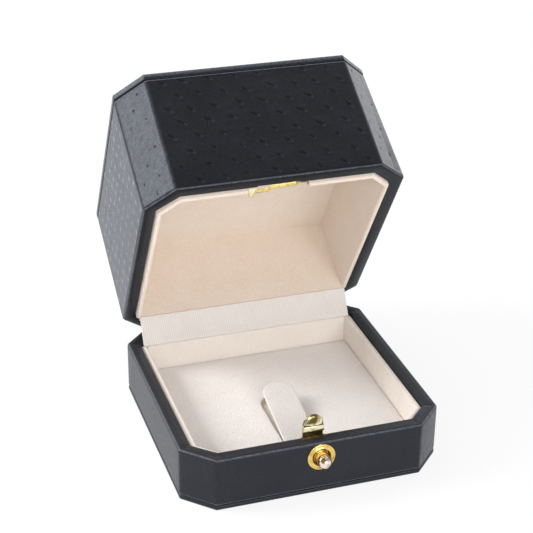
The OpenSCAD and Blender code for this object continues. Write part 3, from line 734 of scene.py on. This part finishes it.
def addLidLeather():
    low, high = boxOf("lid_wrap", shut=True)
    piece = leatherCup("lidLeather", low, high, rimUp=False)
    plateLow, plateHigh = boxOf("strike_plate", shut=True)
    front, under = -case["half"], low.z + case["leather"]
    back = front + 2 * case["rim"]
    cutAway(piece, newBox("slot", (-strike["slotHalf"], front + strike["slotFront"], low.z - mm),
                          (strike["slotHalf"], back, under + 0.02 * mm)))
    cutAway(piece, newBox("platePocket", (plateLow.x, plateLow.y, under), (plateHigh.x, back, plateHigh.z)))
    cutAway(piece, newBox("catchRoom", (catchX - strike["roomHalf"], plateLow.y, under),
                          (catchX + strike["roomHalf"], back, low.z + case["turnIn"] + mm)))
    edit(piece)
    for along in ((1, 0, 0), (0, 1, 0)):
        cutAt((0, 0, 0), along)
    for area, cuts in lidWalls["cuts"]:
        pickFaces(lambda face: face.calc_area() > area and near(depthInside(face.calc_center_median()), 0))
        bpy.ops.mesh.subdivide(number_cuts=cuts)
    leaveEdit()
    middle = Vector((0, 0, (low.z + high.z) / 2))
    halfHigh = (high.z - low.z) / 2
    wobble(piece, lidWalls["wave"], lidWalls["waveHeight"], lambda point: depthInside(point) < 0.1 * mm)
    markEdgeHighlight(piece, low.z, high.z)
    # the lid's front-left and left walls get painted reflection
    markPaintedReflections(piece, frontLeft=0.3, left=0.15)
    for vertex in piece.data.vertices:
        reach = (vertex.co.x - case["half"] + lidWalls["spreadFrom"]) / lidWalls["spreadOver"]
        share = min(1, max(0, reach)) * (high.z - vertex.co.z) / (high.z - low.z)
        vertex.co.x += lidWalls["spread"] * share
    kinds = ["front", "corner", "side", "corner"] * 2
    up = Vector((0, 0, 1))
    marked = stampQuills(piece, [(spot + middle, outward, sideways, up, halfWide, halfHigh, kind)
                                 for (spot, outward, sideways, halfWide), kind in zip(wallPlaces(), kinds)])
    smooth(piece, 50)
    finishPiece(piece, "lid", lidLeather, "lid_wrap")
    darken(piece, marked)


gather = {"depth": 0.18 * mm, "pleats": 17, "spread": 0.65, "reach": 4 * mm, "cuts": 11, "wave": 3 * mm,
          "hub": 0.8 * mm}


def gatherRim(piece, rimZ):     # pleats fan out from the rim's inner corners, where the leather turns in
    corner = case["half"] - case["cornerCut"]
    edge = corner - gather["reach"]

    def gathered(face):
        spot = face.calc_center_median()
        return face.normal.z > 0.9 and spot.z > rimZ - case["dip"] and min(abs(spot.x), abs(spot.y)) > edge

    edit(piece)
    for side in (-1, 1):
        for along in (Vector((1, 0, 0)), Vector((0, 1, 0))):
            cutAt(along * side * edge, along)
    pickFaces(gathered)
    bpy.ops.mesh.subdivide(number_cuts=gather["cuts"])
    leaveEdit()
    fold = Vector((case["half"] - case["rim"], corner - case["rim"] * (math.sqrt(2) - 1)))
    for vertex in piece.data.vertices:
        x, y = abs(vertex.co.x), abs(vertex.co.y)
        inside = (depthInside(vertex.co) - case["rimRound"]) / (case["rim"] - case["rimRound"])
        if vertex.co.z > rimZ - case["dip"] - 0.02 * mm and 0 < inside < 1:
            for spoke in (Vector((x, y)) - fold, Vector((y, x)) - fold):
                angle = math.atan2(spoke.y, spoke.x) - math.pi / 8
                fan = math.exp(-(angle / gather["spread"]) ** 2) * min(1, spoke.length / gather["hub"])
                sway = 4 * noise.noise(vertex.co / gather["wave"])
                ripple = 0.5 + 0.5 * math.sin(gather["pleats"] * angle + sway)
                vertex.co.z -= gather["depth"] * fan * ripple * math.sin(math.pi * inside) ** 0.5


room = {        # cut through the base's leather
    "beside": 0.4 * mm, "below": 1.02 * mm,             # the hinge's knuckles
    "lid": 1.07 * mm,                                   # the open lid's back edge, from the pin
    "bezel": 2.62 * mm, "stem": 1.47 * mm,              # radii
    "wear": 0.35 * mm, "wearBack": 3 * mm, "wearLeg": 0.5 * mm,
}


def addBaseLeather():
    low, high = boxOf("base_wrap")
    half, rim = case["half"], case["rim"]
    piece = leatherCup("baseLeather", low, high, rimUp=True)
    leafX = boxOf("base_hinge_leaf")[1].x + room["beside"]
    cutAway(piece, newBox("knuckleRoom", (-leafX, half - rim - mm, pin.z - room["below"]),
                          (leafX, half + mm, high.z + mm)))
    lidRoom = newBox("lidRoom", (-2 * half, -half, room["lid"]), (2 * half, half, half))
    lidRoom.matrix_world = Matrix.Translation(pin) @ Matrix.Rotation(-openAngle, 4, "X")
    cutAway(piece, lidRoom)
    cutAway(piece, newRod("bezelHole", (0, -half, buttonZ), room["bezel"], 3 * mm))
    cutAway(piece, newRod("stemHole", (0, rim - half, buttonZ), room["stem"], 3 * mm))
    plateLow, plateHigh = boxOf("wear_plate")
    cutAway(piece, newBox("wearRecess", (plateLow.x, plateLow.y, high.z - room["wear"]),
                          (plateHigh.x, plateLow.y + room["wearBack"], high.z + mm)))
    cutAway(piece, newBox("wearLeg", (plateLow.x, plateHigh.y - room["wearLeg"], plateLow.z),
                          (plateHigh.x, plateHigh.y + mm, high.z)))
    edit(piece)     # the slivers that the cuts leave are closed up
    pickAll()
    bpy.ops.mesh.remove_doubles(threshold=0.03 * mm)
    bpy.ops.mesh.dissolve_degenerate(threshold=0.01 * mm)
    bpy.ops.mesh.delete_loose()
    pickAll()
    bpy.ops.mesh.fill_holes(sides=8)
    leaveEdit()
    gatherRim(piece, high.z)
    markEdgeHighlight(piece, low.z, high.z)
    # the base's front-right wall gets painted reflection
    markPaintedReflections(piece, frontRight=0.6)
    smooth(piece, 35)
    finishPiece(piece, "base", baseLeather, "base_wrap")


cover = {"edge": 0.45 * mm, "bare": 3.5 * mm}       # its rounding, and the strip without quills


def addCover(name, node, body, cells, material):
    inLid = body == "lid"
    low, high = boxOf(node, shut=inLid)
    deselect()
    bpy.ops.mesh.primitive_grid_add(x_subdivisions=cells, y_subdivisions=cells, size=2 * case["half"],
                                    location=(0, 0, high.z))
    piece = named(name)
    edit(piece)
    for x in (-1, 1):
        for y in (-1, 1):
            outward = Vector((x, y, 0)).normalized()
            cutAt(outward * cornerReach, outward, clear_outer=True)
    leaveEdit()
    modify(piece, "SOLIDIFY", thickness=high.z - low.z, offset=-1)
    edit(piece)
    pickFaces(lambda face: face.normal.z < -0.9)
    bpy.ops.mesh.dissolve_limited(angle_limit=math.radians(1))
    leaveEdit()
    roundEdges(piece, cover["edge"])
    markEdgeHighlight(piece, high.z if inLid else low.z)
    marked = []
    if inLid:
        reach = case["half"] - cover["bare"]
        right, back, up = Vector((1, 0, 0)), Vector((0, 1, 0)), Vector((0, 0, 1))
        marked = stampQuills(piece, [(up * high.z, up, right, back, reach, reach, "front")])
    smooth(piece, 40)
    finishPiece(piece, body, material, node)
    darken(piece, marked)


print("leather")
addLidLeather()
addBaseLeather()
addCover("lidTopCover", "lid_top_plate", "lid", 140, lidLeather)
addCover("bottomCover", "bottom_plate", "base", 12, baseLeather)


# ---- suede ----

lining = {"edge": 0.6 * mm, "lidEdge": 0.55 * mm, "hingeEdge": 0.05 * mm, "ceilingEdge": 0.1 * mm}
notch = {       # where the lining at the strike's notch is painted brown, as shade in the slot, heights from the lining's rim
    "left": -2.4 * mm, "right": 7.5 * mm, "front": -25 * mm, "low": 1.3 * mm, "high": 4 * mm,
}


def roundRim(piece, height, width):     # rounds only the edges that lie at one height
    edit(piece)
    pickEdges(lambda edge: all(near(vertex.co.z, height) for vertex in edge.verts))
    bpy.ops.mesh.bevel(offset=width, segments=5, affect="EDGES")
    leaveEdit()


def addLining(name, node, body, edge):
    inLid = body == "lid"
    low, high = boxOf(node, shut=inLid)
    piece = copyNode(node, name, inLid)
    roundRim(piece, low.z if inLid else high.z, edge)
    smooth(piece, 40)
    notched = node == "lid_wall_lining"
    if notched:
        edit(piece)
        cutAt((notch["left"], 0, 0), (1, 0, 0))
        leaveEdit()

    def notchShade(spot):
        spot = shutting @ spot
        return (spot.y < notch["front"] and notch["left"] < spot.x < notch["right"]
                and low.z + notch["low"] < spot.z < low.z + notch["high"])

    finishPiece(piece, body, lidShadedSuede if inLid else creamSuede, node)
    if notched:
        # the notch faces are painted brown as shade
        dressPart(piece, notchShadeBoard, notchShade)


print("linings")
for side in ("left", "right"):
    addLining(side + "Lining", "base_" + side + "_lining", "base", lining["edge"])
addLining("backLining", "base_back_lining", "base", lining["hingeEdge"])
addLining("lidWallLining", "lid_wall_lining", "lid", lining["lidEdge"])
addLining("lidBackLining", "lid_back_lining", "lid", lining["hingeEdge"])
addLining("lidCeiling", "lid_ceiling", "lid", lining["ceilingEdge"])

pad = {"edge": 0.35 * mm, "droop": 0.12 * mm, "cell": 1.5 * mm, "wave": 8 * mm, "waveHeight": 0.10 * mm,
       "fill": 0.3}
flap = {"edge": 0.28 * mm, "cell": mm, "bow": 0.12 * mm, "fill": 0.4}


def addPad():
    low, high = boxOf("ring_pad")
    piece = copyNode("ring_pad", "ringPad")
    roundEdges(piece, pad["edge"])
    cutAcross(piece, 0, low.x + pad["cell"], high.x - pad["cell"], pad["cell"])
    cutAcross(piece, 1, low.y + pad["cell"], high.y - pad["cell"], pad["cell"])
    half = (high - low) / 2
    middle = (high + low) / 2
    for vertex in piece.data.vertices:      # the top waves a little and falls off towards its edges
        if vertex.co.z > high.z - pad["edge"] * 1.01:
            across, along = (vertex.co.x - middle.x) / half.x, (vertex.co.y - middle.y) / half.y
            hollow = 0.5 + 0.5 * noise.noise(vertex.co / pad["wave"])
            vertex.co.z -= pad["droop"] * max(across ** 6, along ** 6) + pad["waveHeight"] * hollow
    smooth(piece, 40)
    finishPiece(piece, "base", padSuede, "ring_pad")


def addFlap():
    low, high = boxOf("ring_flap")
    piece = copyNode("ring_flap", "ringFlap")
    roundEdges(piece, flap["edge"], 4)
    cutAcross(piece, 1, low.y + flap["cell"], high.y - flap["cell"], flap["cell"])
    cutAcross(piece, 0, low.x + flap["cell"], high.x - flap["cell"], flap["cell"])
    for vertex in piece.data.vertices:
        along = (vertex.co.y - low.y) / (high.y - low.y)
        vertex.co.z += flap["bow"] * math.sin(math.pi * along)
    smooth(piece, 45)
    finishPiece(piece, "flap", flapShadedSuede, "ring_flap")


print("pad and flap")
addPad()
addFlap()


# ---- hinge cloth ----

cloth = {
    "thickness": 0.42 * mm, "ribHeight": 0.04 * mm, "bow": 0.18 * mm, "steps": 12,
    "gap": 0.28 * mm,       # from a lining's face to the middle of the cloth
    "flap": 4 * mm,         # glued down behind each lining
    "lap": 0.03 * mm,       # flat on a lining's edge before it starts across
    "baseTurn": 0.4 * mm, "lidTurn": 0.3 * mm,      # where it turns down behind them
}


def addHingeCloth():
    low, high = boxOf("hinge_cover")
    baseLow, baseHigh = boxOf("base_back_lining")
    lidLow, lidHigh = boxOf("lid_back_lining", shut=True)
    gap, flaps = cloth["gap"], (cloth["flap"], cloth["flap"] / 2, 0)
    end = opening @ Vector((0, lidLow.y + cloth["lap"], lidLow.z - gap))
    start = Vector((0, baseLow.y + cloth["lap"], baseHigh.z + gap))
    points = [Vector((0, baseHigh.y + gap, baseHigh.z - down)) for down in flaps]
    points += [Vector((0, baseHigh.y - cloth["baseTurn"], baseHigh.z + gap)), start]
    outward = Vector((0, -(end - start).z, (end - start).y)).normalized()
    for i in range(1, cloth["steps"]):
        share = i / cloth["steps"]
        points.append(start.lerp(end, share) + outward * -cloth["bow"] * math.sin(math.pi * share))
    points += [end, opening @ Vector((0, lidHigh.y - cloth["lidTurn"], lidLow.z - gap))]
    points += [opening @ Vector((0, lidHigh.y + gap, lidLow.z + up)) for up in reversed(flaps)]
    ribs = round((high.x - low.x) / clothLook["rib"])
    piece = newPoint("hingeCloth", Vector((low.x, 0, 0)) + points[0])
    bpy.ops.mesh.extrude_vertices_move(TRANSFORM_OT_translate=move((high.x - low.x, 0, 0)))
    pickAll()
    bpy.ops.mesh.subdivide(number_cuts=ribs * 4)
    pickAll()
    for before, after in zip(points, points[1:]):
        bpy.ops.mesh.extrude_edges_move(TRANSFORM_OT_translate=move(after - before))
    pickAll()
    bpy.ops.mesh.normals_make_consistent(inside=False)
    leaveEdit()
    modify(piece, "SOLIDIFY", thickness=cloth["thickness"], offset=0)
    outwards = [vertex.normal.copy() for vertex in piece.data.vertices]
    for vertex, outward in zip(piece.data.vertices, outwards):
        phase = (vertex.co.x - low.x) / clothLook["rib"] * 2 * math.pi
        vertex.co += outward * cloth["ribHeight"] * math.cos(phase)
    smooth(piece, 60)
    dress(piece, hingeCloth)
    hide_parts("hinge_cover")
    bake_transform(piece)


print("hinge cloth")
addHingeCloth()


# ---- brass ----

def arc(middle, radius, start, stop, steps):     # points of (out, forward) on an arc, angles in degrees
    out, forward = middle
    angles = [math.radians(start + (stop - start) * i / steps) for i in range(steps + 1)]
    return [(out + radius * math.cos(angle), forward + radius * math.sin(angle)) for angle in angles]


def turnOnLathe(name, profile, centre):     # profile points are (out, forward), the axis runs to the front
    spots = [centre + Vector((out, -forward, 0)) for out, forward in profile]
    piece = newPoint(name, spots[0])
    for before, after in zip(spots, spots[1:]):
        bpy.ops.mesh.extrude_vertices_move(TRANSFORM_OT_translate=move(after - before))
    pickAll()
    bpy.ops.mesh.spin(steps=96, angle=2 * math.pi, center=centre, axis=(0, 1, 0))
    pickAll()
    bpy.ops.mesh.remove_doubles(threshold=0.001 * mm)
    bpy.ops.mesh.normals_make_consistent(inside=False)
    leaveEdit()
    return piece


faceCentre = Vector((0, -case["half"], buttonZ))
bezel = {
    "outer": 6.9 * mm, "cup": 4.5 * mm, "hole": 1.72 * mm, "tube": 2.9 * mm,        # diameters
    "proud": 0.75 * mm, "depth": 1.0 * mm, "back": 2.8 * mm, "wall": 0.35 * mm,
    "edge": 0.22 * mm, "crown": 0.34 * mm, "lip": 0.30 * mm, "well": 0.20 * mm,     # radii of its roundings
    "shadedBand": 0.45 * mm,      # height of the band at the cup's bottom that is painted darker, as shade
}


def addBezel():
    outer, cup, hole, tube = (bezel[key] / 2 for key in ("outer", "cup", "hole", "tube"))
    proud, depth, wall, back = (bezel[key] for key in ("proud", "depth", "wall", "back"))
    edge, crown, lip, well = (bezel[key] for key in ("edge", "crown", "lip", "well"))
    bead = (outer - cup) / 2
    profile = [(hole, -back), (tube, -back), (tube, -depth - wall), (cup + wall, -depth - wall)]
    profile += [(cup + wall, 0), (outer, 0), (outer, 0.28 * proud)]
    profile += arc((outer - edge, 0.3 * proud), edge, 20, 80, 4)
    profile += [(outer - crown, 0.55 * proud)]
    profile += arc((cup + 0.62 * bead, proud - crown), crown, 60, 90, 3)
    profile += arc((cup + lip, proud - 1.2 * lip), lip, 80, 180, 8)
    profile += [(cup, -depth + well)] + arc((cup - well, -depth + well), well, 0, -90, 4)
    profile += [(hole, -depth), (hole, -back)]
    piece = turnOnLathe("buttonBezel", profile, faceCentre)
    smooth(piece, 40)
    finishPiece(piece, "base", polishedBrass, "button_bezel")
    # the bottom of the cup is painted darker, as shade in the recess
    dressPart(piece, dullBrass, lambda spot: spot.y - faceCentre.y > depth - bezel["shadedBand"])


button = {
    "ball": 3.4 * mm, "collar": 3.6 * mm, "neck": 2.5 * mm, "stem": 1.6 * mm,       # diameters
    "ballOut": 2.25 * mm, "collarThick": 0.5 * mm, "neckFoot": 0.95 * mm, "stemEnd": 3.3 * mm,
    "flare": 0.35 * mm, "flareFront": 2.83 * mm,        # its riveted end
    "pale": 0.9 * mm,                                   # how far down from its middle the ball is paler
    "darkReflectionWay": (-0.49, -0.60, 0.63), "darkReflectionSize": 0.55 * mm,     # where the ball gets a painted dark reflection
}


def addButton():
    ball, collar, neck, stem = (button[key] / 2 for key in ("ball", "collar", "neck", "stem"))
    top, end, flare = button["collarThick"] / 2, button["stemEnd"], stem + button["flare"]
    meet = math.degrees(math.asin(min(1, neck / ball)))
    profile = [(0, -end), (0.25 * mm, -end), (stem, -end + 0.2 * mm), (flare, -end + 0.2 * mm),
               (flare, -button["flareFront"]), (stem, -button["flareFront"]), (stem, -top),
               (collar - 0.06 * mm, -top), (collar, -top + 0.06 * mm)]
    profile += arc((collar - 0.14 * mm, top - 0.14 * mm), 0.14 * mm, 0, 75, 4)
    profile += [(neck + 0.12 * mm, button["neckFoot"]),
                (neck, button["ballOut"] - ball * math.cos(math.radians(meet)))]
    profile += arc((0, button["ballOut"]), ball, meet - 90 + 6, 90, 22)[:-1] + [(0, button["ballOut"] + ball)]
    piece = turnOnLathe("pushButton", profile, faceCentre)
    smooth(piece, 30)
    darkReflection = faceCentre + Vector((0, -button["ballOut"], 0)) + Vector(button["darkReflectionWay"]) * ball
    size = button["darkReflectionSize"]
    # a painted dark reflection on the ball
    paintMarks(piece, "tarnishAndPaintedShade", lambda spot: math.exp(-(spot - darkReflection).length_squared / size ** 2))
    finishPiece(piece, "button", polishedBrass, "push_button")
    dressPart(piece, paleBrass, lambda spot: faceCentre.y - spot.y > button["ballOut"] - button["pale"])


catch = {
    "strip": 0.5 * mm, "edge": 0.14 * mm, "gap": 0.05 * mm,         # its thickness, and clear of the leather
    "hook": 1.45 * mm, "lip": 1.55 * mm, "lipOut": 0.75 * mm,       # the lip starts this far above the rim
    "headOut": 0.85 * mm, "headEdge": 0.07 * mm, "step": 0.16 * mm,     # from the lip up to the dome's foot
    "earRound": 0.95 * mm, "pivotZ": 4.5 * mm, "pivotY": -27.6 * mm, "bore": 1.0 * mm,
    # where and how large the painted dark reflection on the dome's top is, and how wide the painted shade
    # along the dome's foot is
    "stainAndPaintedReflection": (-0.1 * mm, -0.9 * mm), "reflectionSpotSize": (0.75 * mm, 1.3 * mm), "footShade": 0.12 * mm,
}


def addCatch():
    low, high = catchLow, catchHigh
    front = -case["half"] + case["rim"] + catch["gap"]
    back = front + catch["strip"]
    hookZ = boxOf("base_wrap")[1].z + catch["hook"]
    lipTop = hookZ + catch["lip"]
    seam = lipTop + catch["step"]
    strip = newBox("catchPlate", (low.x, front, low.z), (high.x, back, lipTop + 0.6 * mm))
    edit(strip)
    for height in (hookZ, lipTop):
        cutAt((0, 0, height), (0, 0, 1))
    pickFaces(lambda face: face.normal.y < -0.9 and hookZ < face.calc_center_median().z < lipTop)
    bpy.ops.mesh.extrude_region_move(TRANSFORM_OT_translate=move((0, -catch["lipOut"], 0)))
    leaveEdit()
    roundEdges(strip, catch["edge"])
    ears = []
    y, z, bow, strap = (catch[key] for key in ("pivotY", "pivotZ", "earRound", "strip"))
    for x in (low.x, high.x - strap):
        ear = newBox("ear", (x, back - 0.05 * mm, z - bow), (x + strap, y, z + bow))
        tip = newRod("earTip", (x + strap / 2, y, z), bow, strap, (0, 90, 0))
        modify(ear, "BOOLEAN", operation="UNION", object=tip, solver="EXACT")
        bpy.data.objects.remove(tip)
        cutAway(ear, newRod("bore", (x, y, z), catch["bore"] / 2, 3 * mm, (0, 90, 0)))
        ears.append(ear)
    width = high.x - low.x
    deselect()
    bpy.ops.mesh.primitive_uv_sphere_add(segments=96, ring_count=48, radius=1,
                                         location=(catchX, front + 0.02 * mm, high.z - width / 2),
                                         scale=(width / 2, catch["headOut"], width / 2))
    head = named("catchHead")
    edit(head)
    for spot, outward in (((0, back, 0), (0, 1, 0)), ((0, 0, seam), (0, 0, -1))):
        cutAt(spot, outward, use_fill=True, clear_outer=True, threshold=0.0001 * mm)
    leaveEdit()
    roundEdges(head, catch["headEdge"], 2, 50)
    smooth(head, 40)
    smooth(strip, 40)
    activate(strip)
    for part in (*ears, head):
        part.select_set(True)
    bpy.ops.object.join()

    def darkness(spot):     # painted shade below the lip and along the dome's foot, and a painted dark reflection on the middle of its top
        (right, above), (wide, tall) = catch["stainAndPaintedReflection"], catch["reflectionSpotSize"]
        across, up = (spot.x - catchX - right) / wide, (spot.z - high.z - above) / tall
        foot = math.exp(-((spot.z - seam) / catch["footShade"]) ** 2) if spot.z > seam - 0.01 * mm else 0
        return max(1.0 if spot.z < hookZ + 0.02 * mm else 0, foot, math.exp(-across * across - up * up))

    paintMarks(strip, "tarnishAndPaintedShade", darkness)
    finishPiece(strip, "catch", catchBrass, "catch_lever")


def addWearPlate():
    piece = copyNode("wear_plate", "wearPlate")
    roundEdges(piece, 0.06 * mm, 2)
    smooth(piece)
    # the plate is painted dark, as shade under the catch's head
    finishPiece(piece, "base", paintedShadeBrass, "wear_plate")


strikeBar = {
    "half": 5 * mm, "slotBack": 3.64 * mm, "back": 4.34 * mm, "thick": 0.6 * mm, "ear": 1.3 * mm,
    "lift": 0.50 * mm, "ahead": 0.20 * mm,      # its bent part, deeper in the lid and nearer the front
    "lean": 0.58 * mm, "skew": 0.045, "bend": (-2.4 * mm, -0.9 * mm), "edge": 0.07 * mm,
}


def addStrikePlate():
    low, high = boxOf("strike_plate", shut=True)
    piece = copyNode("strike_plate", "strikePlate", inLid=True)
    slotEnd, slotBack = strikeBar["half"], low.y + strikeBar["slotBack"]
    beyond = high + Vector((mm, mm, mm))
    cutAway(piece, newBox("earCut", (slotEnd + 0.02 * mm, slotBack - strikeBar["ear"], low.z - mm), beyond))
    cutAway(piece, newBox("barCut", (slotEnd - mm, low.y + strikeBar["back"], low.z - mm), beyond))
    edit(piece)
    for x in strikeBar["bend"]:
        cutAt((x, 0, 0), (1, 0, 0))
    leaveEdit()
    for vertex in piece.data.vertices:      # the bar was rolled and bent askew when its ears were folded
        spot = vertex.co
        if spot.y < slotBack - 0.05 * mm or abs(spot.x) > slotEnd + 0.1 * mm:
            continue
        if near(spot.y, slotBack, 0.05 * mm) and near(spot.z, high.z - strikeBar["thick"]):
            spot.y += strikeBar["lean"]
        if spot.x > strikeBar["bend"][0] + 0.1 * mm:
            spot.z += strikeBar["lift"]
            spot.y -= strikeBar["ahead"]
        spot.y -= strikeBar["skew"] * spot.x
    roundEdges(piece, strikeBar["edge"], 2)
    smooth(piece)
    finishPiece(piece, "lid", strikeBrass, "strike_plate")
    dressPart(piece, highlightBrass, lambda spot: (shutting @ spot).x < -slotEnd)      # the folded ear gets a painted highlight


print("brass")
addBezel()
addButton()
addCatch()
addWearPlate()
addStrikePlate()


# ---- camera, light and background ----

view = {
    "azimuth": -18.603, "elevation": 27.226, "roll": 0.775,
    "distance": 359.695 * mm, "aside": -2.836 * mm, "above": 12.435 * mm,
    "aim": Vector((0, 0, 30 * mm)), "lens": 98.72,
}


def setCamera():
    azimuth, elevation, roll = (math.radians(view[key]) for key in ("azimuth", "elevation", "roll"))
    back = Vector((math.sin(azimuth) * math.cos(elevation), -math.cos(azimuth) * math.cos(elevation),
                   math.sin(elevation)))
    level = Vector((math.cos(azimuth), math.sin(azimuth), 0))
    upright = back.cross(level)
    right = math.cos(roll) * level + math.sin(roll) * upright
    up = -math.sin(roll) * level + math.cos(roll) * upright
    deselect()
    bpy.ops.object.camera_add()
    camera = bpy.context.object
    camera.data.lens = view["lens"]
    camera.data.sensor_width = 36
    camera.data.clip_start = 0.01
    turn = Matrix((right, up, back)).transposed().to_4x4()
    spot = view["aim"] + back * view["distance"] + right * view["aside"] + up * view["above"]
    camera.matrix_world = Matrix.Translation(spot) @ turn
    bpy.context.scene.camera = camera


studio = {
    "lampAim": Vector((0, 0, 25 * mm)), "world": 0.57,
    "floor": 0.9, "floorSize": 3, "floorGlow": 0.85,        # its paint, and how much of it is seen as white
}
lamps = {       # place, size and power
    "leftSoftbox": ((-0.75, 0.30, 0.50), (0.40, 0.46), 9.0),
    "frontSoftbox": ((0.05, -1.05, 0.42), (0.8, 0.5), 7.0),
    "rightSoftbox": ((0.80, 0.50, 0.12), (0.4, 0.3), 1.0),
    "topSoftbox": ((-0.30, 0.35, 0.95), (0.5, 0.5), 1.6),
}


def addLamp(name, spot, size, power):
    deselect()
    bpy.ops.object.light_add(type="AREA", location=spot)
    lamp = bpy.context.object
    lamp.name = name
    lamp.data.shape = "RECTANGLE"
    lamp.data.size, lamp.data.size_y = size
    lamp.data.energy = power
    lamp.rotation_euler = (studio["lampAim"] - Vector(spot)).to_track_quat("-Z", "Y").to_euler()


print("camera and light")
setCamera()
for name, settings in lamps.items():
    addLamp(name, *settings)

scene = bpy.context.scene
scene.view_settings.view_transform = "Standard"


def seenDirectly(tree):     # 1 for what the camera, a mirror or a clear piece sees, 0 for falling light
    path = addNode(tree, "ShaderNodeLightPath")
    value = path.outputs["Is Camera Ray"]
    for ray in ("Is Glossy Ray", "Is Transmission Ray"):
        value = mathOf("MAXIMUM", value, path.outputs[ray])
    return value


def mixBy(share, first, second, output):
    mixer = addNode(share.id_data, "ShaderNodeMixShader")
    link(share, mixer.inputs["Fac"])
    link(first.outputs[0], mixer.inputs[1])
    link(second.outputs[0], mixer.inputs[2])
    link(mixer.outputs[0], output.inputs["Surface"])


world = bpy.data.worlds.new("studio")
scene.world = world
world.use_nodes = True
tree = world.node_tree
tree.nodes.clear()
dim, white = (addNode(tree, "ShaderNodeBackground", Color=(1, 1, 1, 1), Strength=strength)
              for strength in (studio["world"], 1.0))
mixBy(seenDirectly(tree), dim, white, addNode(tree, "ShaderNodeOutputWorld"))

print("floor")
deselect()
bpy.ops.mesh.primitive_plane_add(size=studio["floorSize"], location=(0, 0, 0))
floor = named("floor")
floorPaint, tree, paint = newMaterial("floorPaint", (studio["floor"],) * 3, 0.9)
glow = addNode(tree, "ShaderNodeEmission", Strength=1.0)
share = mathOf("MULTIPLY", seenDirectly(tree), studio["floorGlow"])
mixBy(share, paint, glow, tree.nodes["Material Output"])
floor.data.materials.append(floorPaint)
